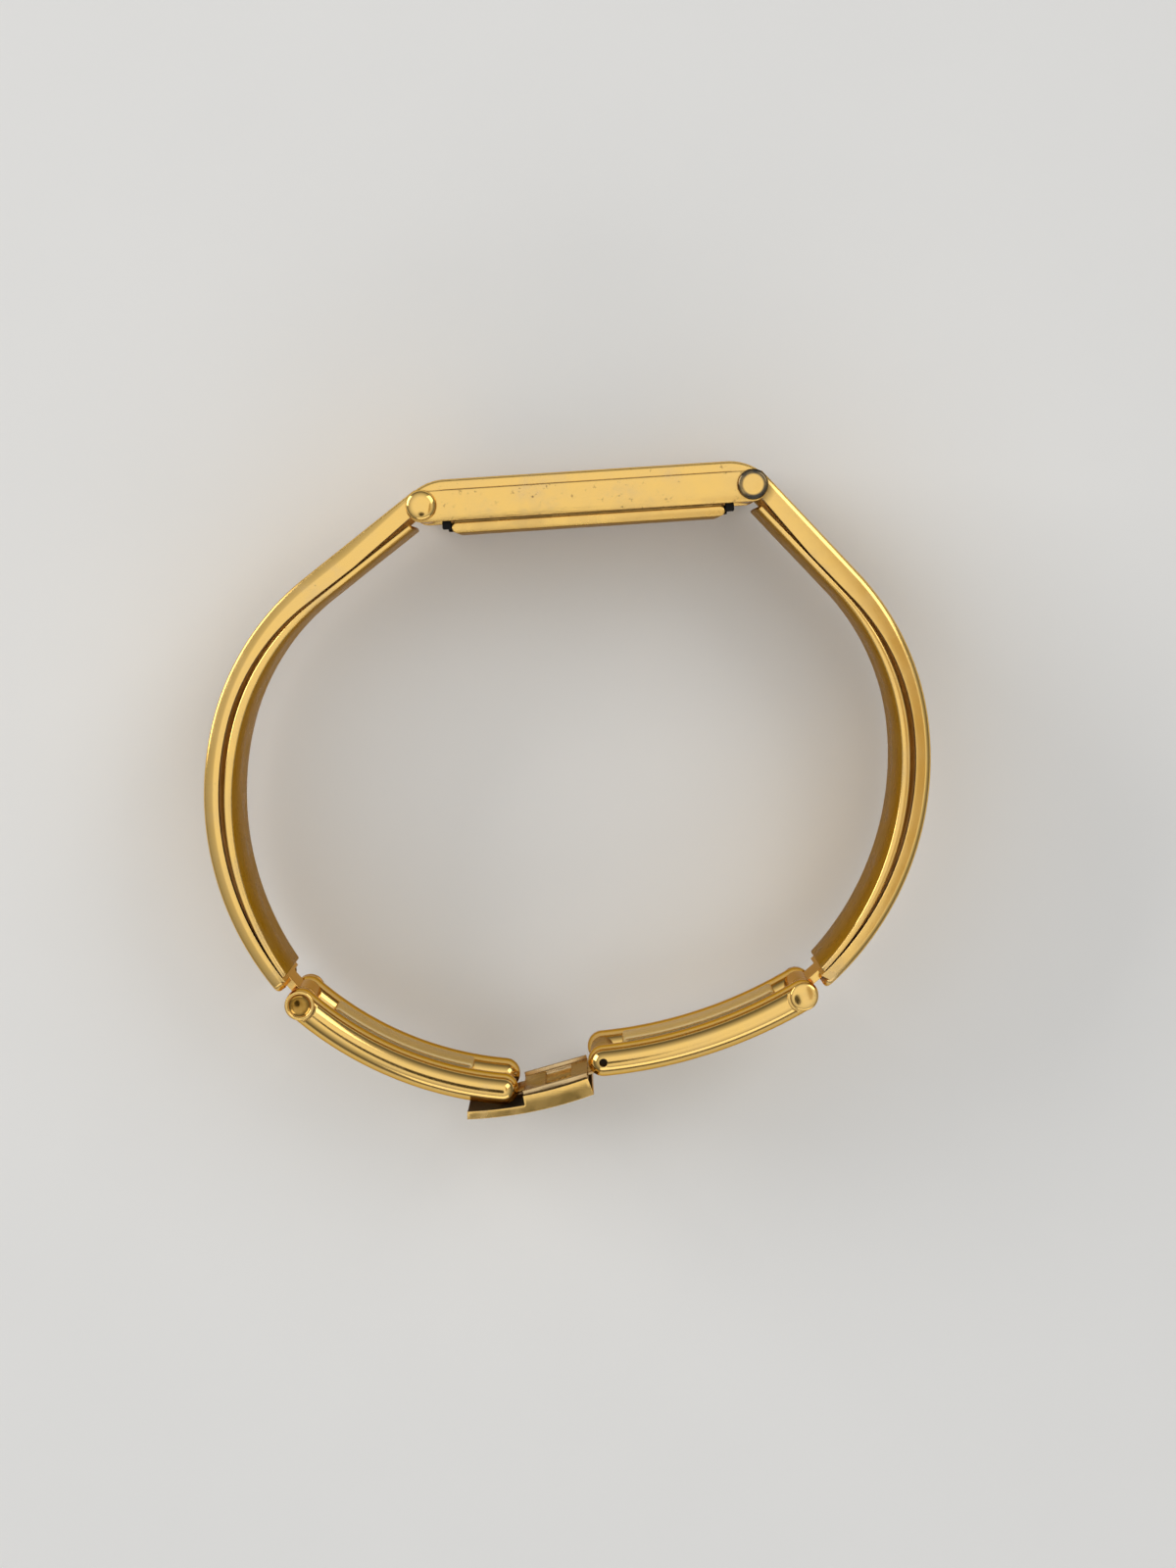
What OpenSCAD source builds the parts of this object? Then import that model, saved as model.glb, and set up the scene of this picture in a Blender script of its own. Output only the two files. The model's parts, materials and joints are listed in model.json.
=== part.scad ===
/* [Case] */
// Distance between the two case hinge pins, along the case
pin_span = 28; // [27:0.25:31]
// Case width along the wrist axis
case_w = 16.4; // [15.9:0.1:17.5]
// Thickness of each side plate
plate_t = 1.4; // [1.1:0.05:1.6]
// Height of the side plates
plate_h = 2.6; // [2.5:0.05:2.8]
// Height of the bezel above the side plates
bezel_h = 0.9; // [0.85:0.05:1.1]
// Radius that drops the bezel ends over the hinge pins
bezel_end_r = 4.5; // [3.8:0.1:6]
// Edge chamfer of the bezel
bezel_edge = 0.3; // [0.15:0.05:0.4]
// Reach of the caseback past the inner faces of the end walls
back_reach = 0.05; // [0:0.05:0.2]
// Thickness of the caseback plate
back_t = 0.85; // [0.75:0.05:1.1]
// Thickness of the case end walls
end_wall_t = 0.9; // [0.6:0.05:1]
// Distance from a hinge pin to the end of the window
window_end = 4.5; // [4.4:0.1:5.4]
// Width of the bezel beside the window
window_side = 2.9; // [2.8:0.1:3.4]

/* [Case hinge pins] */
// Shaft radius of the case pins
case_pin_r = 0.5; // [0.4:0.05:0.6]
// Head radius of the case pins
rivet_r = 1.3; // [1.1:0.05:1.35]
// Height of the case pin heads above the plates
rivet_h = 0.6; // [0.4:0.05:0.9]

/* [Dial and hands] */
// Thickness of the dial
dial_t = 0.25; // [0.2:0.05:0.3]
// Length of the minute hand
minute_len = 4.7; // [4:0.1:4.9]
// Length of the hour hand
hour_len = 3.4; // [2.8:0.1:3.8]
// Thickness of each hand
hand_t = 0.1; // [0.08:0.01:0.12]
// Thickness of the crystal
crystal_t = 0.8; // [0.7:0.05:0.85]

/* [Bangle arms] */
// Distance from the case pin to the link pin
arm_span = 43.9; // [42:0.1:46]
// Width of an arm along the wrist axis
arm_w = 13.2; // [12.6:0.1:13.4]
// Distance from the case pin to the outer skin
arm_skin = 1.45; // [1.4:0.01:1.5]
// Angle at which an arm leaves the case
shoulder_a = 37.6; // [36:0.2:39]
// Outer radius of the upper bend
upper_r = 22.6; // [20:0.2:24]
// Distance along the arm chord to its widest point
arm_peak = 22.1; // [21:0.1:23]
// Depth of the link pin below the outer curve
foot_depth = 0.62; // [0.4:0.02:0.9]
// Opening angle of the left arm as it lies
left_swing = 17.65; // [16:0.25:19]
// Opening angle of the right arm as it lies
right_swing = 2.4; // [1:0.2:4]
// Side wall height of the shell at the shoulder
side_case = 1.9; // [1.7:0.05:2]
// Side wall height of the shell at its widest point
side_mid = 1.35; // [1.2:0.05:1.5]
// Side wall height of the shell at its foot
side_foot = 1.15; // [1.1:0.05:1.3]
// Widest opening of the seam between shell and lining
seam = 0.4; // [0.2:0.05:0.5]
// Thickness of the lining
lining_t = 0.45; // [0.3:0.05:0.6]
// Sheet thickness of the shell skin
skin_t = 0.5; // [0.4:0.05:0.6]
// Edge rounding of the arms
arm_edge = 0.45; // [0.2:0.05:0.5]

/* [Links] */
// Length of the left link, pin to catch bar
left_link_len = 18.9; // [18:0.1:20]
// Length of the right link, pin to pin
right_link_len = 18.1; // [17.4:0.1:19]
// Slope of the left link
left_link_a = 26.7; // [25:0.5:29]
// Slope of the right link
right_link_a = 14.6; // [13:0.5:16]
// Bulge of the left link between its ends
left_sag = 1.5; // [1.2:0.1:2]
// Bulge of the right link between its ends
right_sag = 1; // [0.7:0.1:1.4]
// Width of the links along the wrist axis
link_w = 12.4; // [12:0.1:13]
// Width of each rail
rail_w = 3.3; // [3:0.1:3.4]
// Radial height of each rail
rail_h = 2.6; // [2.4:0.05:2.7]
// Shaft radius of the link pins
link_pin_r = 0.5; // [0.4:0.05:0.55]
// Radius of the clasp pin
clasp_pin_r = 0.4; // [0.3:0.02:0.44]
// Radius of the catch bar
catch_r = 0.3; // [0.25:0.01:0.34]

/* [Clasp] */
// Length of the clasp cover past the catch bar
thumb_len = 3.6; // [2.5:0.1:4.5]
// Radius of the curved clasp cover
cover_r = 35; // [30:1:45]
// Depth of the clasp cover below the pin line
cover_depth = 2.5; // [2.4:0.05:2.8]
// Sheet thickness of the clasp cover
cover_t = 0.4; // [0.3:0.05:0.5]
// Thickness of the slotted plate
ladder_t = 0.3; // [0.25:0.05:0.4]
// Height of the slotted plate side walls
ladder_wall_h = 0.75; // [0.5:0.05:0.9]
// Thickness of the clasp side walls
clasp_wall_t = 0.6; // [0.4:0.05:0.8]
// Play of the catch bar in its saddle
catch_play = 0.3; // [0.25:0.01:0.34]

/* [Crown] */
// Radius of the crown
crown_r = 1.25; // [1.1:0.05:1.3]
// How far the crown stands out of the side plate
crown_h = 1.1; // [0.9:0.1:1.4]
// Number of grip flutes around the crown
crown_flutes = 20; // [16:1:24]

/* [Movement] */
// Room between the movement and each end wall
holder_end = 3.9; // [3.7:0.1:4.1]
// Room between the movement and each side plate
holder_side = 1.3; // [1.2:0.05:1.35]
// Radius of the battery
cell_r = 3.3; // [3:0.05:3.4]
// Height of the battery
cell_h = 1.25; // [1.1:0.05:1.35]
// Tooth module of the hour train
hand_module = 0.1; // [0.098:0.001:0.102]

/* [Hidden] */

// Smoothness of true round forms
$fn = 64;

// Running play of a shaft in its hole, and of a fixed pin in its seat
play = 0.05;
seat = 0.02;
// Clear space between faces that pass each other
side_play = 0.2;
// A small amount by which a cut runs past a face
cut = 0.5;

// Colours
gold = [0.80, 0.60, 0.27];
worn_gold = [0.72, 0.55, 0.28];
steel = [0.62, 0.62, 0.62];
brass = [0.74, 0.62, 0.33];
cream = [0.92, 0.89, 0.80];
dark = [0.12, 0.12, 0.13];

// Case levels, measured up from the hinge pin axis
pin_x = pin_span / 2;
plate_drop = 0.12;
plate_top = plate_h / 2 - plate_drop;
plate_bottom = plate_top - plate_h;
bezel_top = plate_top + bezel_h;
plate_in = case_w / 2 - plate_t;
back_step = 0.2;
back_bottom = plate_bottom - back_step - back_t;

// The end walls stand clear of the arm barrels
barrel_r = 1.3;
wall_out = pin_x - barrel_r - 0.3;
wall_in = wall_out - end_wall_t;

// Lengths that follow from the case
back_len = 2 * (wall_in + back_reach);
window_len = pin_span - 2 * window_end;
window_w = case_w - 2 * window_side;
move_len = 2 * (wall_in - holder_end);
move_w = 2 * (plate_in - holder_side);

// Crystal, hands and dial levels
crystal_proud = 0.06;
bezel_lip = 0.25;
crystal_low = bezel_top + crystal_proud - crystal_t;
dial_top = crystal_low - 0.75;
dial_low = dial_top - dial_t;
crystal_lip = 0.8;

// Rounds a derived size to a thousandth
function near(x) = round(x * 1000) / 1000;

// Arm curve. The upper bend ends on a straight run that passes the case pin at arm_skin
arm_rise = near(upper_r + (arm_skin - upper_r + arm_peak * sin(shoulder_a)) / cos(shoulder_a));
straight_len = (arm_rise - upper_r) * sin(shoulder_a) + arm_peak * cos(shoulder_a);
foot_run = arm_span - arm_peak;
lower_r = near((pow(arm_rise, 2) + pow(foot_run, 2) - pow(foot_depth, 2))
    / (2 * (arm_rise - foot_depth)));
// Angle of the link pin below the widest point, seen from the centre of the lower bend
foot_a = acos((lower_r - arm_rise) / (lower_r - foot_depth));
// The shell stops short of the link eyes
shell_end_gap = 2.65;
shell_end_a = foot_a - shell_end_gap / lower_r * 180 / PI;
// Slight crease between the straight run and the upper bend, and the lap of the two forms
crease = 0.02;
lap_a = 2.45;
// Depth of the seam faces where shell and lining meet
seam_end = 0.02;
seam_case = 0.12;
arm_wall = 0.8;

// Places of the link pins, the catch bar and the clasp pin
function foot_of(side, swing) = [side * (pin_x + arm_span * sin(swing)), -arm_span * cos(swing)];
left_foot = foot_of(-1, left_swing);
right_foot = foot_of(1, right_swing);
catch_at = left_foot + left_link_len * [cos(left_link_a), -sin(left_link_a)];
clasp_at = right_foot + right_link_len * [-cos(right_link_a), -sin(right_link_a)];
clasp_run = norm(clasp_at - catch_at);
clasp_a = atan2(clasp_at[1] - catch_at[1], clasp_at[0] - catch_at[0]);

// Rails, eyes and the tongue between them
rail_in = link_w / 2 - rail_w;
rail_z = link_w / 2 - rail_w / 2;
rail_edge = 0.95;
eye_r = rail_h / 2 + 0.1;
eye_top = link_w / 2 - 0.3;
tongue_w = 2 * (rail_in - side_play);
tongue_r = 1.2;

// Clasp levels, measured from the line between clasp pin and catch bar
ladder_low = -1.15;
ladder_top = ladder_low + ladder_wall_h;
clasp_start = rail_h / 2 + 0.35;
clasp_end = clasp_run - rail_h / 2 - 0.3;
cover_end = clasp_run + thumb_len;
cover_mid = clasp_run * 0.47;
ladder_len = clasp_end - clasp_start;
clasp_knuckle_r = 1.05;

// Movement stack, from the dial down to the caseback
gap = 0.03;
plate_t_main = 0.8;
move_top = dial_low - gap;
move_low = move_top - plate_t_main;
back_inside = back_bottom + 0.5;
recess_t = 0.42;
recess_floor = move_top - recess_t;
// Train layers under the main plate
layer_t = 0.14;
centre_y = move_low - 0.06 - layer_t;
third_y = centre_y - 0.06 - layer_t;
middle_y = third_y - 0.06 - layer_t;
bridge_t = 0.18;
bridge_top = middle_y - 0.06;
bridge_low = bridge_top - bridge_t;
cell_at = [cell_r + 0.4 - move_len / 2, move_w / 2 - cell_r];

// Teeth of the hour train and of the going train
cannon_teeth = 12;
minute_teeth = 36;
minute_leaves = 10;
hour_teeth = 40;
pair_distance = (cannon_teeth + minute_teeth) / 2 * hand_module;
hour_module = pair_distance * 2 / (minute_leaves + hour_teeth);
centre_teeth = 30;
third_leaves = 10;
third_teeth = 40;
middle_leaves = 8;
middle_teeth = 48;
rotor_leaves = 8;
centre_module = 0.1;
third_module = 0.08;
middle_module = 0.07;
minute_dir = -155;
minute_at = pair_distance * [cos(minute_dir), sin(minute_dir)];
third_at = (centre_teeth + third_leaves) / 2 * centre_module * [cos(-30), sin(-30)];
middle_at = third_at + (third_teeth + middle_leaves) / 2 * third_module * [cos(5), sin(5)];
rotor_at = middle_at + (middle_teeth + rotor_leaves) / 2 * middle_module * [cos(40), sin(40)];
arbor_r = 0.1;
hub_r = 0.2;

// Crown and stem
stem_r = 0.25;
stem_y = move_low + plate_t_main / 2;
tube_r = 0.75;
lever_z = -move_w / 2 + 1.75;
crown_z = -case_w / 2;

// The part stands with the lower crown face at height zero, centred over its outline
left_reach = -pin_x - peak_reach(left_swing);
right_reach = pin_x + peak_reach(right_swing);
low_reach = clasp_at[1] - cover_mid * sin(clasp_a) + (cover_r - cover_depth) * cos(clasp_a) - cover_r;
lift = case_w / 2 + crown_h;
home = [-(left_reach + right_reach) / 2, -(bezel_top + crystal_proud + low_reach) / 2, lift];

// Sideways reach of an arm from its case pin when swung by a
function peak_reach(a) =
    let (side = arm_rise - upper_r, down = -arm_peak)
    side * cos(a) - down * sin(a) + upper_r;

// Places a child of the case in the standing part
module at_home() translate(home) children();

// Turns a solid drawn upwards so that it stands on the dial side, at a plan place x, z
module on_case(p, y) translate([p[0], y, p[1]]) rotate([-90, 0, 0]) children();

// A round pin or hole along the wrist axis
module rod(r, from, to) translate([0, 0, from]) cylinder(r = r, h = to - from);

// Section of a flat bar, each corner eased by three chamfers of reach r
module eased_bar(w, h, r) polygon([
    for (q = [[1, 1, 0], [-1, 1, 1], [-1, -1, 0], [1, -1, 1]], k = [0:3])
        let (a = q[2] == 0 ? k * 30 : 90 - k * 30)
        [q[0] * (w / 2 - r + r * cos(a)), q[1] * (h / 2 - r + r * sin(a))]
]);

// Outline of the side plate, round about the hinge pins
module plate_outline(h) {
    translate([0, -plate_drop]) {
        square([pin_span, h], center = true);
        for (x = [-pin_x, pin_x]) translate([x, 0]) circle(h / 2);
    }
}

// Side view of the bezel, flat on top and dropped at both ends
module bezel_outline() {
    flat = pin_x - 2.1;
    tail = plate_h / 2 + 0.1;
    centre_y = bezel_top - bezel_end_r;
    difference() {
        union() {
            translate([-flat, plate_top]) square([2 * flat, bezel_h]);
            for (x = [-1, 1]) intersection() {
                translate([x * flat, centre_y]) circle(bezel_end_r);
                translate([x > 0 ? flat - 0.01 : -pin_x - tail, 0.35])
                    square([pin_x + tail - flat + 0.01, bezel_top]);
            }
        }
        plate_outline(plate_h);
    }
}

// Outline along the case seen from its end, with both top edges chamfered
module bezel_section() {
    half = case_w / 2;
    polygon([
        [-bezel_top, -half], [bezel_top - bezel_edge, -half], [bezel_top, bezel_edge - half],
        [bezel_top, half - bezel_edge], [bezel_top - bezel_edge, half], [-bezel_top, half]
    ]);
}

module bezel() color(gold) at_home() difference() {
    intersection() {
        translate([0, 0, -case_w / 2]) linear_extrude(case_w) bezel_outline();
        translate([-pin_span, 0, 0]) rotate([90, 0, 90]) linear_extrude(2 * pin_span) bezel_section();
    }
    // Window, with a sloped upper edge made by two steps
    window_cut(window_len, window_w, plate_top - cut, bezel_h + 2 * cut);
    window_cut(window_len + 0.8, window_w + 0.8, bezel_top - 0.25, cut);
    // Seat of the crystal, cut from below
    window_cut(window_len + 2 * crystal_lip, window_w + 2 * crystal_lip,
        plate_top - cut, bezel_h - bezel_lip + cut);
    // Room for the arm barrels between the lugs
    for (x = [-1, 1]) translate([x * pin_x, 0, 0]) {
        rod(arm_skin + 0.17, -plate_in, plate_in);
        translate([x > 0 ? 0 : -pin_x, -cut, -plate_in])
            cube([pin_x, bezel_top + 2 * cut, 2 * plate_in]);
    }
}

// A rectangular cut seen from the dial, from height y
module window_cut(len, w, y, h)
    translate([-len / 2, y, -w / 2]) cube([len, h, w]);

module case_frame() color(gold) at_home() difference() {
    union() {
        for (z = [-case_w / 2, plate_in])
            translate([0, 0, z]) linear_extrude(plate_t) plate_outline(plate_h);
        for (x = [-wall_out, wall_in])
            translate([x, plate_bottom, -plate_in]) cube([end_wall_t, plate_h, 2 * plate_in]);
    }
    for (x = [-pin_x, pin_x]) translate([x, 0, 0]) rod(case_pin_r + seat, -case_w, case_w);
    translate([0, stem_y, 0]) rod(tube_r + seat, -case_w, 0);
}

module crystal() color([0.85, 0.9, 0.92, 0.35]) at_home() {
    low_len = window_len + 2 * crystal_lip - 0.1;
    low_w = window_w + 2 * crystal_lip - 0.1;
    step = crystal_t - crystal_proud - bezel_lip - seat;
    translate([-low_len / 2, crystal_low, -low_w / 2]) cube([low_len, step, low_w]);
    translate([-window_len / 2 + 0.05, crystal_low + step, -window_w / 2 + 0.05])
        cube([window_len - 0.1, crystal_t - step, window_w - 0.1]);
}

// A frame between dial and crystal that holds the crystal up in the bezel
module crystal_gasket() color(dark) at_home() difference() {
    window_cut(window_len + 1.2, window_w + 1.2, dial_top + 0.01, crystal_low - dial_top - 0.02);
    window_cut(window_len + 0.2, window_w + 0.2, crystal_low - 1, 2);
}

module caseback() color(gold) at_home() difference() {
    rim_w = 2 * plate_in - 0.7;
    rim_len = 2 * wall_in - 0.7;
    union() {
        // Outer plate with rounded long ends
        translate([0, back_bottom + back_t / 2, -plate_in - 0.7])
            linear_extrude(2 * plate_in + 1.4) back_outline();
        translate([-rim_len / 2 - 0.2, back_bottom + back_t - 0.01, -rim_w / 2 - 0.2])
            cube([rim_len + 0.4, back_step + 0.005, rim_w + 0.4]);
        translate([-rim_len / 2, back_bottom + back_t, -rim_w / 2])
            cube([rim_len, back_step + 0.45, rim_w]);
    }
    translate([-rim_len / 2 + 0.5, back_inside, -rim_w / 2 + 0.5])
        cube([rim_len - 1, 3, rim_w - 1]);
}

module back_outline() {
    r = back_t / 2;
    square([back_len - 2 * r, back_t], center = true);
    for (x = [-1, 1]) translate([x * (back_len / 2 - r), 0]) circle(r);
}

module caseback_gasket() color(dark) at_home() difference() {
    rim_w = 2 * plate_in - 0.7;
    rim_len = 2 * wall_in - 0.7;
    window_cut(rim_len + 0.64, rim_w + 0.64, plate_bottom + 0.02, 0.35);
    window_cut(rim_len + 0.04, rim_w + 0.04, plate_bottom - cut, 2);
}

// Shaft with a head on each end
module case_pin_shaft() rod(case_pin_r, -case_w / 2 - 0.1, case_w / 2 + 0.1);

// Domed heads, as on the left of the case
module left_case_pin() color(gold) at_home() translate([-pin_x, 0, 0]) {
    case_pin_shaft();
    for (m = [0, 1]) mirror([0, 0, m]) translate([0, 0, case_w / 2]) rotate_extrude() dome_half();
}

module dome_half() {
    collar = rivet_h * 0.35;
    dome = rivet_h - collar;
    ball = (pow(rivet_r, 2) + pow(dome, 2)) / (2 * dome);
    square([rivet_r, collar]);
    intersection() {
        translate([0, rivet_h - ball]) circle(ball);
        translate([0, collar - 0.001]) square([rivet_r, dome + 0.001]);
    }
}

// Flat heads with a rounded rim, as on the right of the case
module right_case_pin() color(worn_gold) at_home() translate([pin_x, 0, 0]) {
    rim = 0.35;
    case_pin_shaft();
    for (m = [0, 1]) mirror([0, 0, m]) translate([0, 0, case_w / 2]) rotate_extrude() {
        square([rivet_r, rivet_h - rim]);
        square([rivet_r - rim, rivet_h]);
        intersection() {
            translate([rivet_r - rim, rivet_h - rim]) circle(rim);
            square([rivet_r, rivet_h]);
        }
    }
}

module dial() color(cream) at_home() difference() {
    len = window_len + 1.2;
    w = window_w + 1.2;
    translate([-len / 2, dial_low, -w / 2]) cube([len, dial_t, w]);
    on_case([0, 0], dial_low - cut) cylinder(r = 0.62, h = dial_t + 2 * cut);
}

// Twelve applied batons on a rectangular track
module hour_markers() color(gold) at_home()
    for (h = [0:11]) {
        a = h * 30;
        p = marker_place(a);
        translate([p[0], dial_top + 0.075, p[1]]) rotate([0, -marker_turn(a), 0])
            cube([h % 3 == 0 ? 1.3 : 0.8, 0.14, 0.28], center = true);
    }

// The track is the rectangle that runs inside the window. Twelve o'clock lies at the left end
track = [window_len / 2 - 1.5, window_w / 2 - 1.2];
function marker_place(a) =
    let (c = cos(a), s = sin(a), k = min(track[0] / max(abs(c), 0.001), track[1] / max(abs(s), 0.001)))
    [-k * c, k * s];
function marker_turn(a) = abs(track[0] * sin(a)) > abs(track[1] * cos(a)) ? 90 : 0;

// A tapered hand from its hub along its pointing direction
module hand_plan(len, w, tail) {
    circle(0.55);
    polygon([[-tail, -w / 2], [len * 0.7, -w / 2], [len, 0], [len * 0.7, w / 2], [-tail, w / 2]]);
}

hour_y = dial_top + 0.14;
minute_y = hour_y + hand_t + 0.12;
hour_points = 124;
minute_points = 48;

module hour_hand() color(dark) at_home() on_case([0, 0], hour_y) difference() {
    linear_extrude(hand_t) rotate(hour_points) hand_plan(hour_len, 0.42, 0.9);
    translate([0, 0, -cut]) cylinder(r = 0.5, h = 2);
}

module minute_hand() color(dark) at_home() on_case([0, 0], minute_y) difference() {
    linear_extrude(hand_t) rotate(minute_points) hand_plan(minute_len, 0.36, 1.1);
    translate([0, 0, -cut]) cylinder(r = 0.22 + seat, h = 2);
}

// A toothed wheel, its teeth wide at the root and clear of a mate at every angle
module wheel_teeth(teeth, m) {
    root = m * (teeth / 2 - 0.95);
    tip = m * (teeth / 2 + 0.75);
    half_root = 90 / teeth * 0.95;
    half_tip = 90 / teeth * 0.35;
    circle(root);
    for (i = [0:teeth - 1]) rotate(i * 360 / teeth) polygon([
        root * 0.97 * [cos(half_root), -sin(half_root)], tip * [cos(half_tip), -sin(half_tip)],
        tip * [cos(half_tip), sin(half_tip)], root * 0.97 * [cos(half_root), sin(half_root)]
    ]);
}

// Turn that puts a gap of a wheel on the line to its mate, whose tooth points along dir
function mesh_turn(teeth, dir) = dir + 180 + 180 / teeth;

module cannon_pinion() color(brass) at_home() on_case([0, 0], 0) difference() {
    union() {
        translate([0, 0, recess_floor + gap])
            linear_extrude(layer_t + 0.01) rotate(-minute_dir) wheel_teeth(cannon_teeth, hand_module);
        rod(0.3, recess_floor + gap, minute_y - 0.01);
        rod(0.22, minute_y - 0.1, minute_y + hand_t + 0.05);
    }
    rod(hub_r + seat, recess_floor - cut, recess_floor + recess_t);
}

module minute_wheel() color(brass) at_home() on_case(minute_at, 0) {
    wheel_turn = mesh_turn(minute_teeth, -minute_dir);
    translate([0, 0, recess_floor + gap + 0.02])
        linear_extrude(layer_t) rotate(wheel_turn) wheel_teeth(minute_teeth, hand_module);
    translate([0, 0, recess_floor + gap + 0.01 + layer_t])
        linear_extrude(layer_t + 0.02) rotate(-minute_dir + 180) wheel_teeth(minute_leaves, hour_module);
    rod(arbor_r, recess_floor - 0.2, recess_floor + gap + 0.04);
}

module hour_wheel() color(brass) at_home() on_case([0, 0], 0) difference() {
    hour_turn = mesh_turn(hour_teeth, -minute_dir + 180);
    union() {
        translate([0, 0, recess_floor + gap + 0.05 + layer_t])
            linear_extrude(layer_t - 0.01) rotate(hour_turn) wheel_teeth(hour_teeth, hour_module);
        rod(0.5 - seat, recess_floor + gap + 0.05 + layer_t, hour_y + hand_t);
    }
    rod(0.3 + play, recess_floor - cut, hour_y + 1);
}

module centre_wheel() color(brass) at_home() on_case([0, 0], 0) {
    translate([0, 0, centre_y])
        linear_extrude(layer_t) rotate(-atan2(third_at[1], third_at[0])) wheel_teeth(centre_teeth, centre_module);
    rod(hub_r, centre_y + 0.01, recess_floor + recess_t - 0.05);
    rod(arbor_r, bridge_low + 0.02, centre_y + 0.02);
}

module third_wheel() color(brass) at_home() on_case(third_at, 0) {
    to_centre = -atan2(third_at[1], third_at[0]);
    link = middle_at - third_at;
    translate([0, 0, centre_y - 0.02]) linear_extrude(layer_t + 0.02)
        rotate(mesh_turn(third_leaves, to_centre)) wheel_teeth(third_leaves, centre_module);
    translate([0, 0, third_y]) linear_extrude(layer_t)
        rotate(-atan2(link[1], link[0])) wheel_teeth(third_teeth, third_module);
    rod(arbor_r, bridge_low + 0.02, move_low + 0.2);
}

module intermediate_wheel() color(brass) at_home() on_case(middle_at, 0) {
    back = middle_at - third_at;
    link = rotor_at - middle_at;
    translate([0, 0, third_y - 0.02]) linear_extrude(layer_t + 0.02)
        rotate(mesh_turn(middle_leaves, -atan2(back[1], back[0]))) wheel_teeth(middle_leaves, third_module);
    translate([0, 0, middle_y]) linear_extrude(layer_t)
        rotate(-atan2(link[1], link[0])) wheel_teeth(middle_teeth, middle_module);
    rod(arbor_r, bridge_low + 0.02, move_low + 0.2);
}

rotor_r = 0.5;

module rotor() color(steel) at_home() on_case(rotor_at, 0) {
    link = rotor_at - middle_at;
    translate([0, 0, middle_y - 0.02]) linear_extrude(layer_t + 0.02)
        rotate(mesh_turn(rotor_leaves, -atan2(link[1], link[0]))) wheel_teeth(rotor_leaves, middle_module);
    rod(rotor_r, third_y + 0.02, move_low - 0.05);
    rod(arbor_r, bridge_low + 0.02, move_low + 0.2);
}

// Holes of the main plate and the bridge for the wheel arbors
module arbor_holes(from, to) {
    on_case([0, 0], 0) rod(hub_r + play, from, to);
    for (p = [third_at, middle_at, rotor_at]) on_case(p, 0) rod(arbor_r + play, from, to);
}

module main_plate() color(brass) at_home() difference() {
    translate([-move_len / 2, move_low, -move_w / 2]) cube([move_len, plate_t_main, move_w]);
    // Recess of the hour train
    on_case([0, 0], recess_floor) cylinder(r = hour_module * hour_teeth / 2 + 0.25, h = 1);
    on_case(minute_at, recess_floor) cylinder(r = hand_module * minute_teeth / 2 + 0.25, h = 1);
    on_case(minute_at, 0) rod(arbor_r + play, recess_floor - 0.25, recess_floor + 0.1);
    on_case([0, 0], 0) rod(hub_r + play, move_low - cut, move_top);
    for (p = [third_at, middle_at, rotor_at])
        on_case(p, 0) rod(arbor_r + play, move_low - cut, move_low + 0.25);
    // Way of the stem and room for the battery
    translate([0, stem_y, 0]) rod(stem_r + play, -move_w, -move_w / 2 + 3.2);
    translate([-0.95, stem_y - 1, lever_z - 0.8]) cube([1.9, 1.5, 1.1]);
    on_case(cell_at, back_inside) cylinder(r = cell_r + 0.1, h = cell_h + 0.1);
    for (p = screw_places) on_case(p, 0) rod(screw_r + seat, move_low - cut, move_low + 0.4);
}

screw_r = 0.25;
screw_places = [
    [2.2, 0.8 - move_w / 2], [move_len / 2 - 0.9, 1.2 - move_w / 2], [move_len / 2 - 0.7, move_w / 2 - 0.7]
];
bridge_side = 2.6;

// Bridge over the wheels, on three posts
module train_bridge() color(brass) at_home() difference() {
    union() {
        translate([-1, bridge_low, 0.2 - move_w / 2])
            cube([move_len / 2 + 0.8, bridge_t, move_w / 2 + bridge_side - 0.2]);
        translate([move_len / 2 - 1.8, bridge_low, 0])
            cube([1.6, bridge_t, move_w / 2 - 0.1]);
        for (p = screw_places) on_case(p, 0) rod(0.5, bridge_low, move_low);
    }
    on_case(cell_at, bridge_low - cut) cylinder(r = cell_r + 0.2, h = 2);
    on_case([0, 0], 0) rod(arbor_r + play, bridge_low - cut, bridge_top + cut);
    for (p = [third_at, middle_at, rotor_at])
        on_case(p, 0) rod(arbor_r + play, bridge_low - cut, bridge_top + cut);
    for (p = screw_places) on_case(p, 0) rod(screw_r + seat, bridge_low - cut, move_low + cut);
}

module bridge_screws() color(steel) at_home()
    for (p = screw_places) on_case(p, 0) difference() {
        union() {
            rod(screw_r, bridge_low, move_low + 0.38);
            rod(0.45, bridge_low - 0.16, bridge_low);
        }
        translate([-0.5, -0.06, bridge_low - 0.3]) cube([1, 0.12, 0.22]);
    }

module battery() color(steel) at_home() on_case(cell_at, back_inside + 0.04) {
    cylinder(r = cell_r, h = cell_h - 0.2);
    cylinder(r = cell_r - 0.5, h = cell_h);
}

// Contact strip between the battery and the main plate
module battery_strap() color(steel) at_home() {
    strap_y = back_inside + 0.04 + cell_h + 0.02;
    translate([cell_at[0] - 3, strap_y, cell_at[1] - 0.6]) cube([4.5, 0.1, 1.2]);
    on_case([cell_at[0] + 1.5, cell_at[1]], strap_y) cylinder(r = 0.9, h = 0.1);
}

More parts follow.
